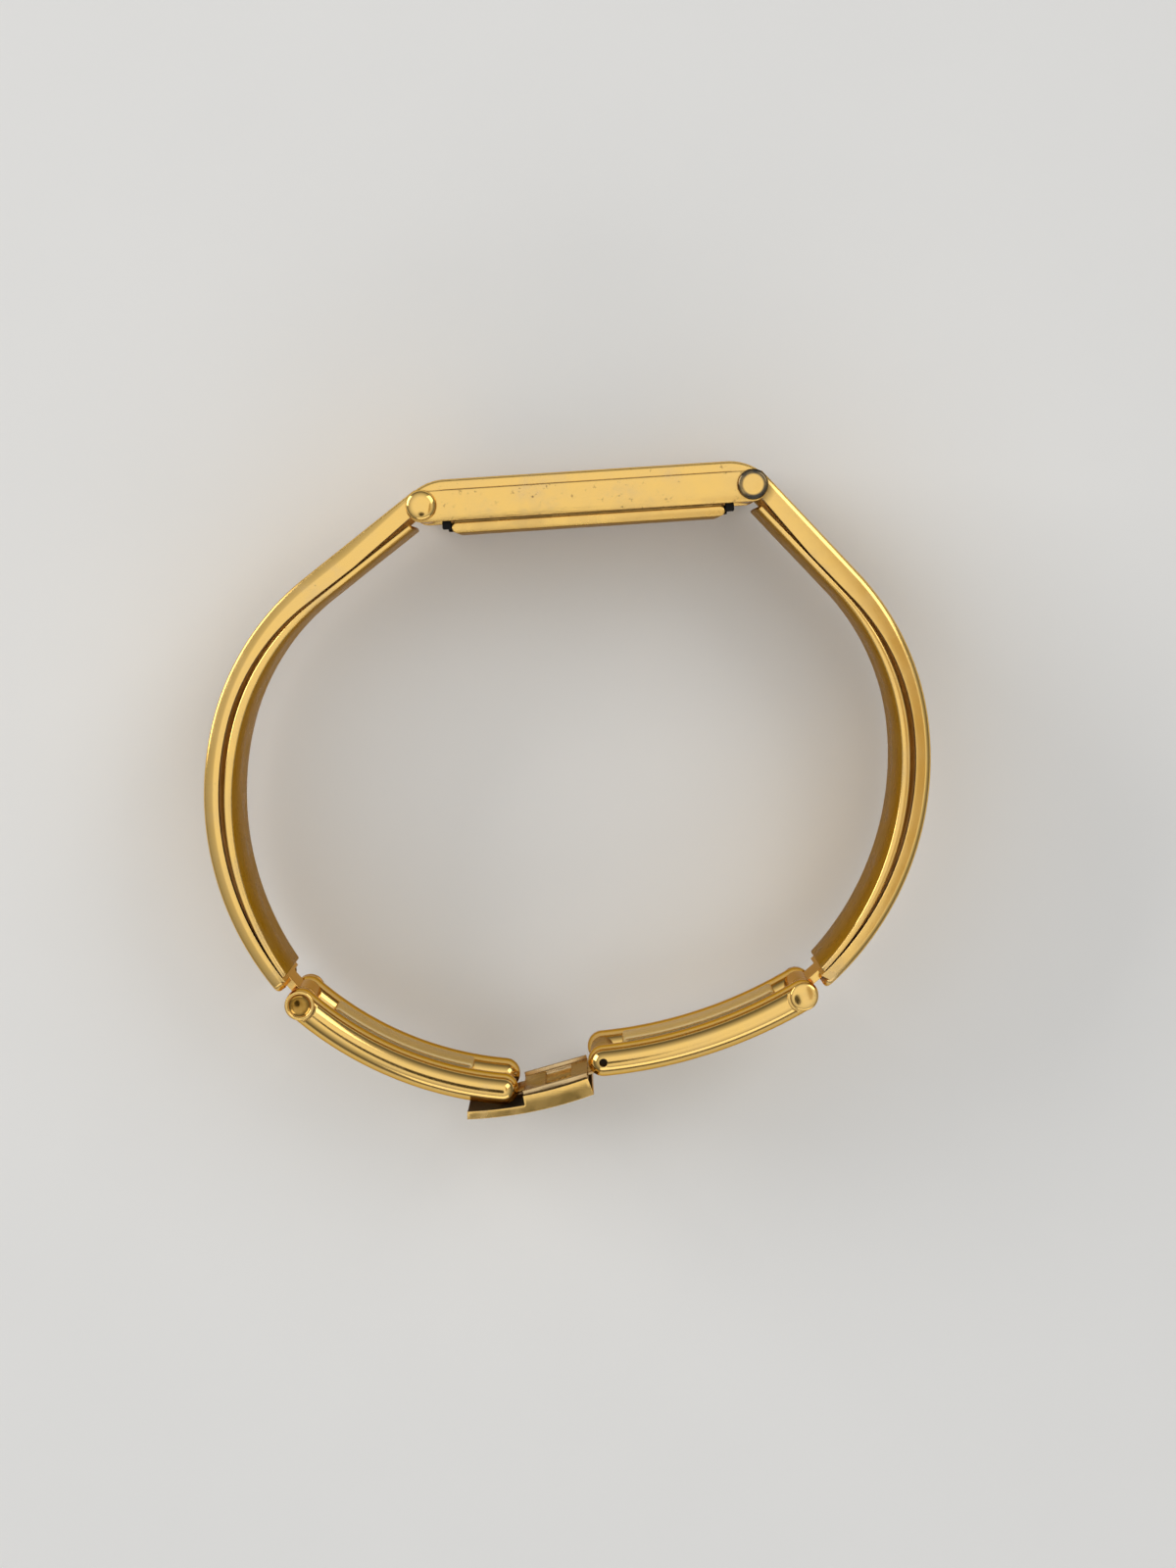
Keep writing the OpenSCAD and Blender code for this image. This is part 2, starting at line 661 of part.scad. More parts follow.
module circuit_board() color([0.15, 0.42, 0.22]) at_home() difference() {
    board_y = move_low - 0.3;
    translate([-move_len / 2 + 0.1, board_y, 0.2 - move_w / 2])
        cube([move_len / 2 - 1.9, 0.25, move_w / 2 - 0.5]);
    on_case(cell_at, board_y - 1) cylinder(r = cell_r + 0.25, h = 3);
}

// Sealed tube of the timing crystal, laid along the case
module quartz_can() color(steel) at_home()
    translate([0.7 - move_len / 2, move_low - 0.75, 0.7 - move_w / 2]) rotate([0, 90, 0])
        cylinder(r = 0.4, h = move_len / 2 - 4.4);

// The coil lies on its core along the side of the movement
core_len = move_len - 9.1;
coil_len = core_len - 1.7;
core_start = move_len / 2 - 2 - core_len;
coil_at = [core_start + 0.8, move_low - 0.62, move_w / 2 - 0.9];

module coil_core() color(steel) at_home()
    translate([core_start, coil_at[1] - 0.12, coil_at[2] - 0.25]) cube([core_len, 0.24, 0.5]);

module coil() color([0.62, 0.30, 0.15]) at_home() difference() {
    translate(coil_at) rotate([0, 90, 0]) cylinder(r = 0.55, h = coil_len);
    translate([coil_at[0] - cut, coil_at[1] - 0.13, coil_at[2] - 0.26])
        cube([coil_len + 2 * cut, 0.26, 0.52]);
}

module stator() color(steel) at_home() difference() {
    stator_y = third_y + 0.05;
    translate([rotor_at[0] - 0.9, stator_y, rotor_at[1] - 0.9]) cube([1.8, 0.2, 1.8]);
    on_case(rotor_at, 0) rod(rotor_r + 0.12, stator_y - cut, stator_y + cut);
}

module movement_holder() color([0.93, 0.93, 0.9]) at_home() difference() {
    len = 2 * wall_in - 1.8;
    w = 2 * plate_in - 1.8;
    window_cut(len, w, back_inside + 0.03, dial_low - back_inside - 0.06);
    window_cut(move_len + 0.06, move_w + 0.06, back_inside - cut, 5);
    translate([0, stem_y, 0]) rod(tube_r + 0.1, -case_w, 0);
}

module setting_lever() color(steel) at_home() translate([0, stem_y, lever_z]) difference() {
    translate([-0.8, -0.7, -0.12]) cube([1.6, 1, 0.24]);
    rod(stem_r - 0.13 + play, -cut, cut);
}

module stem() color(steel) at_home() translate([0, stem_y, 0]) {
    rod(stem_r, crown_z - 0.4, lever_z - 0.17);
    rod(stem_r - 0.13, lever_z - 0.18, lever_z + 0.18);
    rod(stem_r, lever_z + 0.17, lever_z + 0.6);
}

crown_gap = 0.15;

module crown() color(gold) at_home() translate([0, stem_y, 0]) difference() {
    rod(crown_r, crown_z - crown_h, crown_z - crown_gap);
    for (i = [0:crown_flutes - 1]) rotate(i * 360 / crown_flutes)
        translate([crown_r + 0.03, 0, 0]) rod(0.11, crown_z - crown_h - cut, crown_z);
    rod(stem_r + 0.001, crown_z - 0.4, crown_z);
    // Hollow that takes the case tube
    difference() {
        rod(tube_r + 0.07, crown_z - 0.35, crown_z);
        rod(stem_r + 0.01, crown_z - 1, crown_z + 1);
    }
}

// Tube in the side plate with its seal round the stem
module crown_gasket() color(steel) at_home() translate([0, stem_y, 0]) difference() {
    rod(tube_r, crown_z - 0.3, -plate_in + 0.2);
    rod(stem_r + play, crown_z - 1, 0);
}

// Circle that stands at depth t0 under the peak of a bend and at depth t1 at angle a
module depth_disc(r, t0, t1, a) {
    inner = r - t1;
    e = (pow(r - t0, 2) - pow(inner, 2)) / (2 * (r - t0 - inner * cos(a)));
    translate([e, 0]) circle(r - t0 - e, $fn = 180);
}

// Triangle that holds the angles from a0 to a1 of a bend
module sector(r, a0, a1) polygon([
    [0, 0], 2 * r * [cos(a0), sin(a0)], 2 * r * [cos(a1), sin(a1)]
]);

// Side view of a layer of the arm. Each law gives its depths at shoulder, peak and foot
module arm_layer(top, low, a_end, start) {
    translate([arm_rise - upper_r, -arm_peak]) intersection() {
        difference() {
            depth_disc(upper_r, top[1], top[0], shoulder_a);
            depth_disc(upper_r, low[1], low[0], shoulder_a);
        }
        sector(upper_r, 0, shoulder_a + lap_a + 0.05);
    }
    translate([arm_rise - lower_r, -arm_peak]) intersection() {
        difference() {
            depth_disc(lower_r, top[1], top[2], shell_end_a);
            depth_disc(lower_r, low[1], low[2], shell_end_a);
        }
        sector(lower_r, -a_end, 0);
    }
    rotate(shoulder_a) translate([arm_skin, 0]) polygon([
        [-top[0] - crease, -start], [-top[0] - crease, -straight_len - 0.35],
        [0.03 - low[0], -straight_len - 0.35], [-0.05 - low[0], 0.9 - straight_len],
        [-0.05 - low[0], -start]
    ]);
}

// Sheet section with its two outer corners eased by three chamfers, outer face on the axis
module skin_section(depth, w, r) polygon(concat(
    [[-depth, w / 2], [-depth, -w / 2]],
    [for (k = [0:3]) [r * sin(k * 30) - r, r - w / 2 - r * cos(k * 30)]],
    [for (k = [0:3]) [r * cos(k * 30) - r, w / 2 - r + r * sin(k * 30)]]
));

// The arm swept along its outer curve
module arm_body(depth) {
    translate([arm_rise - upper_r, -arm_peak, 0])
        rotate_extrude(angle = shoulder_a + lap_a, $fn = 180)
        translate([upper_r, 0]) skin_section(depth, arm_w, arm_edge);
    translate([arm_rise - lower_r, -arm_peak, 0]) mirror([0, 1, 0])
        rotate_extrude(angle = shell_end_a, $fn = 180)
        translate([lower_r, 0]) skin_section(depth, arm_w, arm_edge);
    rotate([0, 0, shoulder_a]) translate([arm_skin - crease, 0, 0]) rotate([90, 0, 0])
        linear_extrude(straight_len + 0.3) skin_section(depth, arm_w - 2 * crease, arm_edge);
}

// Puts an arm drawn for the right side on its case pin, swung open by its angle
module place_arm(side) {
    swing = side > 0 ? right_swing : left_swing;
    at_home() translate([side * pin_x, 0, 0])
        mirror([side > 0 ? 0 : 1, 0, 0]) rotate([0, 0, swing]) children();
}

module arm_shell() difference() {
    union() {
        intersection() {
            arm_body(3.2);
            translate([0, 0, -arm_w]) linear_extrude(2 * arm_w)
                arm_layer([-1, -1, -1], [side_case, side_mid, side_foot], shell_end_a + 3, -0.2);
        }
        rod(barrel_r, -arm_w / 2 + 0.05, arm_w / 2 - 0.05);
    }
    rod(case_pin_r + play, -arm_w, arm_w);
    // Hollow under the skin, closed at the foot except for the tongue
    translate([0, 0, -arm_w / 2 + arm_wall]) linear_extrude(arm_w - 2 * arm_wall)
        arm_layer((skin_t + 0.03) * [1, 1, 1], [4, 4, 4], shell_end_a - 6, 2.4);
    translate([arm_rise - lower_r, -arm_peak, -tongue_w / 2 - 0.05]) linear_extrude(tongue_w + 0.1)
        foot_arc(lower_r - skin_t, lower_r - 4, shell_end_a + 1);
}

// Inner sheet that closes the shell, with the seam open between them
module arm_lining() {
    top = [side_case + seam_case, side_mid + seam, side_foot + seam_end];
    translate([0, 0, -arm_w / 2]) linear_extrude(arm_w)
        arm_layer(top, top + lining_t * [1, 1, 1], shell_end_a, 1.8);
    // Foot that carries the lining inside the shell
    rotate([0, 0, shoulder_a]) translate([arm_skin - top[0] - 0.1, -4.6, -arm_w / 2 + arm_wall + 0.05])
        cube([top[0] + 0.05 - skin_t, 1.6, arm_w - 2 * arm_wall - 0.1]);
}

// Ring piece at the foot of the lower bend, from inside the shell to angle a
module foot_arc(r_out, r_in, a) intersection() {
    difference() {
        circle(r_out, $fn = 180);
        circle(r_in, $fn = 180);
    }
    sector(lower_r, -a, 9 - shell_end_a);
}

// Tongue that leaves the shell between the rails of the link and turns on the link pin
module arm_tongue() difference() {
    union() {
        translate([arm_rise - lower_r, -arm_peak, -tongue_w / 2]) linear_extrude(tongue_w)
            foot_arc(lower_r - skin_t - 0.01, lower_r - side_foot - 0.02, foot_a);
        translate([0, -arm_span, 0]) rod(tongue_r, -tongue_w / 2, tongue_w / 2);
    }
    translate([0, -arm_span, 0]) rod(link_pin_r + play, -arm_w, arm_w);
}

module left_arm_shell() color(gold) place_arm(-1) arm_shell();
module left_arm_lining() color(worn_gold) place_arm(-1) arm_lining();
module left_arm_tongue() color(gold) place_arm(-1) arm_tongue();
module right_arm_shell() color(gold) place_arm(1) arm_shell();
module right_arm_lining() color(worn_gold) place_arm(1) arm_lining();
module right_arm_tongue() color(gold) place_arm(1) arm_tongue();

function bend_r(len, sag) = len * len / (8 * sag) + sag / 2;

// Puts a link drawn from the origin along +X, bulging down, on its arm pin
module place_link(side) {
    foot = side > 0 ? right_foot : left_foot;
    at_home() translate([foot[0], foot[1], 0]) mirror([side > 0 ? 1 : 0, 0, 0])
        rotate([0, 0, side > 0 ? -right_link_a : -left_link_a]) children();
}

// Sweeps a section along the bend of a link, from one distance to another
module link_sweep(len, sag, from, to) {
    r = bend_r(len, sag);
    half = asin(len / 2 / r);
    a0 = -90 - half + from / r * 180 / PI;
    a1 = -90 + half - to / r * 180 / PI;
    translate([len / 2, r * cos(half), 0]) rotate([0, 0, a0])
        rotate_extrude(angle = a1 - a0, $fn = 180) translate([r, 0]) children();
}

// Round eye at the end of a rail, the rail section turned about its pin
module rail_eye() rotate_extrude() intersection() {
    eased_bar(2 * eye_r, rail_w, rail_edge);
    translate([0, -rail_w]) square([rail_h, 2 * rail_w]);
}

module rails(len, sag, end_bore) difference() {
    for (z = [-rail_z, rail_z]) translate([0, 0, z]) {
        link_sweep(len, sag, 0, 0) eased_bar(rail_h, rail_w, rail_edge);
        for (x = [0, len]) translate([x, 0, 0]) rail_eye();
    }
    rod(link_pin_r + seat, -link_w, link_w);
    translate([len, 0, 0]) rod(end_bore, -link_w, link_w);
    // Flat seats of the pin heads
    for (m = [0, 1]) mirror([0, 0, m]) rod(eye_r + 0.12, eye_top, link_w);
}

// Middle row of a link, shorter than the rails
module link_bar(len, sag, from, to) {
    bar_w = 2 * rail_in - 0.02;
    bar_h = 2.45;
    link_sweep(len, sag, from, to) translate([-0.22, 0]) eased_bar(bar_h, bar_w, 0.8);
}

module left_link_rails() color(gold) place_link(-1) rails(left_link_len, left_sag, catch_r + seat);
module left_link_bar() color(gold) place_link(-1) link_bar(left_link_len, left_sag, bar_gap + 0.6, bar_gap + 0.8);
module right_link_rails() color(gold) place_link(1) rails(right_link_len, right_sag, clasp_pin_r + seat);
module right_link_bar() color(gold) place_link(1) link_bar(right_link_len, right_sag, bar_gap, bar_gap - 0.2);

// Free space between the pins and the ends of the middle row
bar_gap = 2.4;
head_h = 0.4;
head_r = 1.2;

// Link pin with dished heads
module left_link_pin() color(gold) place_link(-1) difference() {
    union() {
        rod(link_pin_r, -eye_top, eye_top);
        for (m = [0, 1]) mirror([0, 0, m]) rod(head_r, eye_top, eye_top + head_h);
    }
    for (m = [0, 1]) mirror([0, 0, m]) translate([0, 0, eye_top + head_h + 1.4]) sphere(1.65);
}

// Link pin with low domed heads
module right_link_pin() color(gold) place_link(1) {
    rod(link_pin_r, -eye_top, eye_top);
    for (m = [0, 1]) mirror([0, 0, m]) translate([0, 0, eye_top]) intersection() {
        rod(head_r, 0, head_h);
        translate([0, 0, head_h - 4]) sphere(4);
    }
}

// Bar between the rails of the left link, where the closed bangle is held
module catch_bar() color(gold) place_link(-1) translate([left_link_len, 0, 0])
    rod(catch_r, -link_w / 2 + 0.6, link_w / 2 - 0.6);

module clasp_pin() color(worn_gold) place_link(1) translate([right_link_len, 0, 0])
    rod(clasp_pin_r, -link_w / 2 + 0.9, link_w / 2 - 0.9);

// Puts a clasp piece drawn from the clasp pin towards the catch bar, inner side up
module place_clasp() at_home() translate([clasp_at[0], clasp_at[1], 0])
    rotate([0, 0, clasp_a]) mirror([1, 0, 0]) children();

// Side view between the cover's outer curve and a level above it
module cover_fill(from, to, top) intersection() {
    translate([cover_mid, cover_r - cover_depth]) circle(cover_r, $fn = 240);
    translate([from, -2 * cover_depth]) square([to - from, 2 * cover_depth + top]);
}

// Slotted plate with a rolled knuckle on the clasp pin and a saddle under the catch bar
module clasp_ladder() color(worn_gold) place_clasp() difference() {
    post_t = 0.3;
    tongue_end = clasp_run + catch_r + catch_play + post_t;
    union() {
        // Floor and low side walls
        translate([clasp_start, ladder_low, -link_w / 2])
            cube([clasp_end - clasp_start, ladder_t, link_w]);
        for (z = [-link_w / 2, link_w / 2 - clasp_wall_t]) translate([clasp_start, ladder_low, z])
            cube([clasp_end - clasp_start, ladder_wall_h, clasp_wall_t]);
        // Narrow tongue with the two posts of the saddle
        translate([0, ladder_low, -tongue_w / 2]) cube([tongue_end, ladder_t, tongue_w]);
        for (s = [tongue_end - post_t, clasp_run - catch_r - catch_play - post_t])
            translate([s, ladder_low, -tongue_w / 2]) cube([post_t, -ladder_low, tongue_w]);
        rod(clasp_knuckle_r, -tongue_w / 2, tongue_w / 2);
    }
    rod(clasp_pin_r + play, -link_w, link_w);
    // Windows between the rungs
    translate([clasp_start + 0.26 * ladder_len, ladder_low - cut, -link_w / 2 + 1.2])
        cube([0.41 * ladder_len, 2, link_w - 2.4]);
    translate([clasp_end + 0.05, ladder_low - cut, -tongue_w / 2 + 0.8])
        cube([0.45, 2, tongue_w - 1.6]);
}

// Curved outer cover with low walls, a window and a free thumb end
module clasp_cover() color(gold) place_clasp() difference() {
    union() {
        translate([0, 0, -link_w / 2]) linear_extrude(link_w) difference() {
            cover_fill(clasp_start, cover_end, 0);
            translate([cover_mid, cover_r - cover_depth]) circle(cover_r - cover_t, $fn = 240);
        }
        for (z = [-link_w / 2, link_w / 2 - clasp_wall_t])
            translate([0, 0, z]) linear_extrude(clasp_wall_t)
                cover_fill(clasp_start, clasp_end, ladder_low - 0.01);
    }
    translate([clasp_start + 0.22 * ladder_len, -2 * cover_depth, -link_w / 2 + 1.2])
        cube([0.6 * ladder_len, 2 * cover_depth, link_w - 2.4]);
}

case_frame();
bezel();
crystal();
crystal_gasket();
caseback();
caseback_gasket();
left_case_pin();
right_case_pin();
dial();
hour_markers();
hour_hand();
minute_hand();
movement_holder();
main_plate();
train_bridge();
battery();
battery_strap();
circuit_board();
quartz_can();
coil();
coil_core();
stator();
rotor();
intermediate_wheel();
third_wheel();
centre_wheel();
cannon_pinion();
minute_wheel();
hour_wheel();
bridge_screws();
setting_lever();
stem();
crown();
crown_gasket();
left_arm_shell();
left_arm_lining();
left_arm_tongue();
right_arm_shell();
right_arm_lining();
right_arm_tongue();
left_link_rails();
left_link_bar();
left_link_pin();
catch_bar();
right_link_rails();
right_link_bar();
right_link_pin();
clasp_pin();
clasp_ladder();
clasp_cover();
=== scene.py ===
import json
import math

import bmesh
import bpy
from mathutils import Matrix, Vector


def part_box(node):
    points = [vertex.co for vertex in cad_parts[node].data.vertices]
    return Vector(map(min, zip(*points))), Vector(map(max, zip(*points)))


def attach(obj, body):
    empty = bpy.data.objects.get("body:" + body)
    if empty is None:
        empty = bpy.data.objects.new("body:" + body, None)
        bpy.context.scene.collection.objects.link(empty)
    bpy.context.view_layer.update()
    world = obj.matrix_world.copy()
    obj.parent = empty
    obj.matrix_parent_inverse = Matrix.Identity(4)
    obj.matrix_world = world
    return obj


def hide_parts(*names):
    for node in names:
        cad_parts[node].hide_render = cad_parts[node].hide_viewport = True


bl_info = {
    "name": "Bangle watch",
    "version": (1, 0, 0),
    "blender": (4, 5, 0),
    "location": "3D View > Sidebar > Bangle watch",
    "description": "Dresses a gold bangle watch: case, arms, links, clasp and movement",
    "category": "Add Mesh",
}

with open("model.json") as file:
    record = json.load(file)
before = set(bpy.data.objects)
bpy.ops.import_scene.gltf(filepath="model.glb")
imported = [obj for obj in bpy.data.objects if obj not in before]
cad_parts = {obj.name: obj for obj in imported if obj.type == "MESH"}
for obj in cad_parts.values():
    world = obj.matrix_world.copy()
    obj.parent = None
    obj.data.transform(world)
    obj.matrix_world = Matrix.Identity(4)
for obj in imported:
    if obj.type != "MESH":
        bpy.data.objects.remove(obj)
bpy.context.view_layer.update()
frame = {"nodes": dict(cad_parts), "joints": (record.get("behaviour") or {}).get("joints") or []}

MM = 0.001


# Places taken from the frame

def node_middle(name):
    """Middle of a CAD node at rest, in millimetres."""
    low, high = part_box(name)
    return (low + high) / 2 / MM


HINGES = {joint["name"]: Vector(joint["pos_m"]) / MM
          for joint in frame["joints"] if "pos_m" in joint}
LEFT_PIN = HINGES["left_arm_hinge"]
RIGHT_PIN = HINGES["right_arm_hinge"]
LEFT_FOOT = HINGES["left_link_hinge"]
RIGHT_FOOT = HINGES["right_link_hinge"]
CLASP_PIN = HINGES["clasp_hinge"]
CATCH_BAR = node_middle("catch_bar")
MIDDLE_Z = CATCH_BAR.z
PIN_LEVEL = LEFT_PIN.y
CASE = Vector(((LEFT_PIN.x + RIGHT_PIN.x) / 2, PIN_LEVEL, MIDDLE_Z))
PIN_X = (RIGHT_PIN.x - LEFT_PIN.x) / 2
STEM_LEVEL = node_middle("crown").y - PIN_LEVEL


# Fixed sizes, in millimetres

# heights over the case pins
PLATE_DROP = 0.12
BACK_LOW = -2.47

# the case, measured in from a case pin
END_WALL_IN, END_WALL_OUT = 2.5, 1.6
# the black blocks at the caseback ends, painted shade
SHADE_BLOCK_IN = 2.02

# the arms
SPAN = 43.9
BAND_DEPTH = 1.9
SHEET_DEPTH = 2.02
BEND_STEPS = 26

# the links
BAR_HEIGHT = 2.45
BAR_DROP = 0.22
HEAD_SEAT = 0.3
SHAFT = 0.5

# the clasp, with its pin at the origin
CLASP_HALF = 6.2
CLASP_START = 1.65
CLASP_END_GAP = 1.6

# grooves and gaps this small keep two faces from falling together
HAIR = 0.01


# Sizes and colours

def length(name, text, value):
    """A length in millimetres that a user may change."""
    return bpy.props.FloatProperty(
        name=name, description=text + ", mm", default=value, min=0.0, max=100.0)


def colour(name, text, value):
    return bpy.props.FloatVectorProperty(
        name=name, description=text, default=value, size=3, min=0.0, max=1.0, subtype="COLOR")


class ArmSizes(bpy.types.PropertyGroup):
    """Sizes of the two bangle arms, in millimetres"""
    width: length("Width", "Width of an arm along the wrist", 13.2)
    skin: length("Skin distance", "Distance from the case pin to the outer skin", 1.45)
    shoulder: bpy.props.FloatProperty(
        name="Shoulder angle", description="Angle at which an arm leaves the case",
        default=math.radians(37.6), unit="ROTATION", subtype="ANGLE")
    upper_bend: length("Upper bend", "Outer radius of the upper bend", 22.6)
    lower_bend: length("Lower bend", "Outer radius of the lower bend", 26.083)
    rise: length("Rise", "Sideways reach of the arm from its pin", 12.925)
    peak: length("Widest place", "Distance down the arm to its widest place", 22.1)
    wall: length("Wall", "Thickness of the side walls", 0.8)
    lining: length("Lining", "Thickness of the lining sheet", 0.45)


class LinkSizes(bpy.types.PropertyGroup):
    """Sizes of the two links, in millimetres"""
    width: length("Width", "Width of a link along the wrist", 12.4)
    rail_width: length("Rail width", "Width of each rail", 3.3)
    rail_height: length("Rail height", "Height of each rail", 2.6)
    left_bulge: length("Left bulge", "Bulge of the left link", 1.5)
    right_bulge: length("Right bulge", "Bulge of the right link", 1.0)


class CaseSizes(bpy.types.PropertyGroup):
    """Sizes of the case, in millimetres"""
    width: length("Width", "Width of the case over its side plates", 16.4)
    plate: length("Plate", "Thickness of a side plate", 1.4)
    plate_height: length("Plate height", "Height of a side plate", 2.6)
    bezel: length("Bezel", "Height of the bezel over the side plates", 0.9)
    bezel_end: length("Bezel end", "Radius of the dropped ends of the bezel", 4.5)
    recess: length("Recess", "Step from a side plate in to the bezel", 0.2)
    pin_head: length("Pin head", "Radius of the case pin heads", 1.3)


class ClaspSizes(bpy.types.PropertyGroup):
    """Sizes of the clasp, in millimetres"""
    curve: length("Curve", "Outer radius of the cover", 35.0)
    depth: length("Depth", "Depth of the cover below its pin", 2.5)
    sheet: length("Sheet", "Thickness of the cover", 0.4)
    wall: length("Wall", "Thickness of the cover walls", 0.5)
    thumb: length("Thumb end", "Length of the cover past the catch bar", 3.6)


class Finishes(bpy.types.PropertyGroup):
    """Colours of the watch and the stage"""
    gold: colour("Gold", "Polished gold plating", (0.90, 0.58, 0.17))
    rubbed: colour("Rubbed gold", "Plating rubbed thin", (0.72, 0.52, 0.27))
    # the tone of the dark specks in pits, and of the painted shade in corners and slots
    grime_and_shade: colour("Grime", "Dark residue in corners and pits", (0.10, 0.06, 0.025))
    steel: colour("Steel", "Bare steel", (0.55, 0.55, 0.56))
    brass: colour("Brass", "Movement brass", (0.72, 0.55, 0.26))
    dial: colour("Dial", "Cream dial", (0.80, 0.75, 0.62))
    floor: colour("Floor", "Pale floor", (0.85, 0.85, 0.845))


# Finishes

def times(share, tone):
    """A colour made lighter or darker by a share."""
    return tuple(share * v for v in tone)


class Finish:
    """One node material that is built step by step."""

    def __init__(self, name):
        self.material = bpy.data.materials.new(name)
        self.material.use_nodes = True
        self.tree = self.material.node_tree
        self.shader = self.tree.nodes["Principled BSDF"]
        self.place = self.tree.nodes.new("ShaderNodeTexCoord").outputs["Object"]

    def feed(self, socket, value):
        """Sets a socket, or joins it where the value is another node's output."""
        if hasattr(value, "links"):
            self.tree.links.new(value, socket)
        else:
            socket.default_value = value

    def node(self, kind, inputs, **settings):
        node = self.tree.nodes.new("ShaderNode" + kind)
        for key, value in settings.items():
            setattr(node, key, value)
        for key, value in inputs.items():
            self.feed(node.inputs[key], value)
        return node

    def put(self, name, value):
        """Sets or joins an input of the shader."""
        self.feed(self.shader.inputs[name], value)

    def stretched(self, scale, turn=0.0):
        """Object coordinates, stretched, and turned about the wrist axis."""
        return self.node("Mapping", {
            "Vector": self.place, "Scale": scale, "Rotation": (0.0, 0.0, turn)}).outputs["Vector"]

    def noise(self, scale, detail=4.0, rough=0.55, place=None):
        return self.node("TexNoise", {
            "Vector": place or self.place, "Scale": scale, "Detail": detail,
            "Roughness": rough}).outputs["Fac"]

    def spread(self, value, low, high, to_low=0.0, to_high=1.0):
        """Maps one range of a value to another."""
        return self.node("MapRange", {
            "Value": value, "From Min": low, "From Max": high,
            "To Min": to_low, "To Max": to_high}).outputs["Result"]

    def both(self, first, second, way="MULTIPLY"):
        """Two masks put together, kept between 0 and 1."""
        return self.node("Math", {0: first, 1: second}, operation=way, use_clamp=True).outputs[0]

    def blend(self, share, first, second):
        """Mixes two colours, each a plain colour or a node's output."""
        ends = [end if hasattr(end, "links") else (*end, 1.0) for end in (first, second)]
        return self.node("Mix", {"Factor": share, "A": ends[0], "B": ends[1]},
                         data_type="RGBA").outputs["Result"]

    def ring(self, centre, low, high):
        """Mask that rises with the distance from an axis along the wrist, in millimetres."""
        flat = self.node("Mapping", {
            "Vector": self.place, "Scale": (1.0, 1.0, 0.0),
            "Location": (-centre[0] * MM, -centre[1] * MM, 0.0)})
        away = self.node("VectorMath", {0: flat.outputs["Vector"]}, operation="LENGTH")
        return self.spread(away.outputs["Value"], low * MM, high * MM)

    def corners(self, reach):
        """Mask that is high in corners and slots, for painted shade there, from ambient occlusion.
        """
        hidden = self.node("AmbientOcclusion", {"Distance": reach * MM}, samples=4)
        return self.spread(hidden.outputs["AO"], 0.62, 0.25)

    def soft_edges(self, reach):
        """Rounded shading over edges, and a mask that is high where edges are."""
        soft = self.node("Bevel", {"Radius": reach * MM}, samples=4).outputs["Normal"]
        flat = self.node("NewGeometry", {}).outputs["Normal"]
        likeness = self.node("VectorMath", {0: soft, 1: flat}, operation="DOT_PRODUCT")
        return soft, self.spread(likeness.outputs["Value"], 0.995, 0.85)

    def relief(self, height, strength, depth, normal=None):
        """Fine bumps, on top of rounded shading where that is given."""
        inputs = {"Strength": strength, "Distance": depth * MM, "Height": height}
        if normal is not None:
            inputs["Normal"] = normal
        self.put("Normal", self.node("Bump", inputs).outputs["Normal"])


def metal(name, grime_and_shade, base, worn, rough, wear, dirt_and_shade, grain, edge,
          brushed=None, ring=None, speck=(2600.0, 0.66, 0.74)):
    """Worn metal: cloudy plating, rubbed edges, dark specks, painted shade in corners and fine
    scratches.

    wear, dirt_and_shade and grain are shares: dirt_and_shade sets both the dark specks and the
    painted shade in corners. edge is the reach of a rubbed edge in millimetres. grime_and_shade is
    the tone of both.
    brushed is the angle of a brushed finish. ring is a ring of another tone: its centre, the radii
    at which it starts and is full, and its tone. speck is the scale and range of the specks."""
    f = Finish(name)
    f.put("Metallic", 1.0)
    f.put("Specular Tint", (*times(0.75, base), 1.0))
    soft, edges = f.soft_edges(edge)
    clouds = f.noise(420.0, 5.0, 0.6)
    patches = f.spread(f.noise(170.0, 4.0, 0.65), 0.56, 0.72)
    specks = f.spread(f.noise(speck[0], 3.0, 0.7), *speck[1:])
    if brushed is None:
        lines = f.noise(1.0, 3.0, 0.6, f.stretched((900.0, 5200.0, 900.0)))
    else:
        lines = f.noise(1.0, 3.0, 0.6, f.stretched((160.0, 9000.0, 9000.0), brushed))
    cloudy = f.spread(clouds, 0.3, 0.75, 0.0, 0.5)
    rubbed = f.both(f.both(patches, f.spread(clouds, 0.35, 0.6)), f.both(edges, 0.5), "ADD")
    pitted = f.both(f.both(specks, f.spread(clouds, 0.42, 0.6)), dirt_and_shade)
    # painted shade: darker in corners and slots where ambient occlusion is high, broken up by the
    # clouds
    painted_shade = f.both(f.corners(0.4),
                     f.spread(clouds, 0.3, 0.6, 0.5 * dirt_and_shade + 0.2, dirt_and_shade + 0.2))
    tone = f.blend(cloudy, base, tuple(0.5 * (a + b) for a, b in zip(base, worn)))
    tone = f.blend(f.both(rubbed, wear), tone, worn)
    tone = f.blend(pitted, tone, grime_and_shade)
    tone = f.blend(painted_shade, tone, grime_and_shade)
    if ring:
        centre, start, full, ring_tone = ring
        broken = f.spread(f.noise(900.0), 0.2, 0.6, 0.6, 1.0)
        tone = f.blend(f.both(f.ring(centre, start, full), broken), tone, ring_tone)
    f.put("Base Color", tone)
    gloss = f.spread(clouds, 0.3, 0.75, rough, rough * 1.7)
    f.put("Roughness", f.both(gloss, f.both(patches, 0.10), "ADD"))
    waviness = f.both(f.both(lines, 0.6), f.both(f.noise(700.0, 2.0), 0.4), "ADD")
    f.relief(waviness, grain, 0.03, soft)
    return f.material


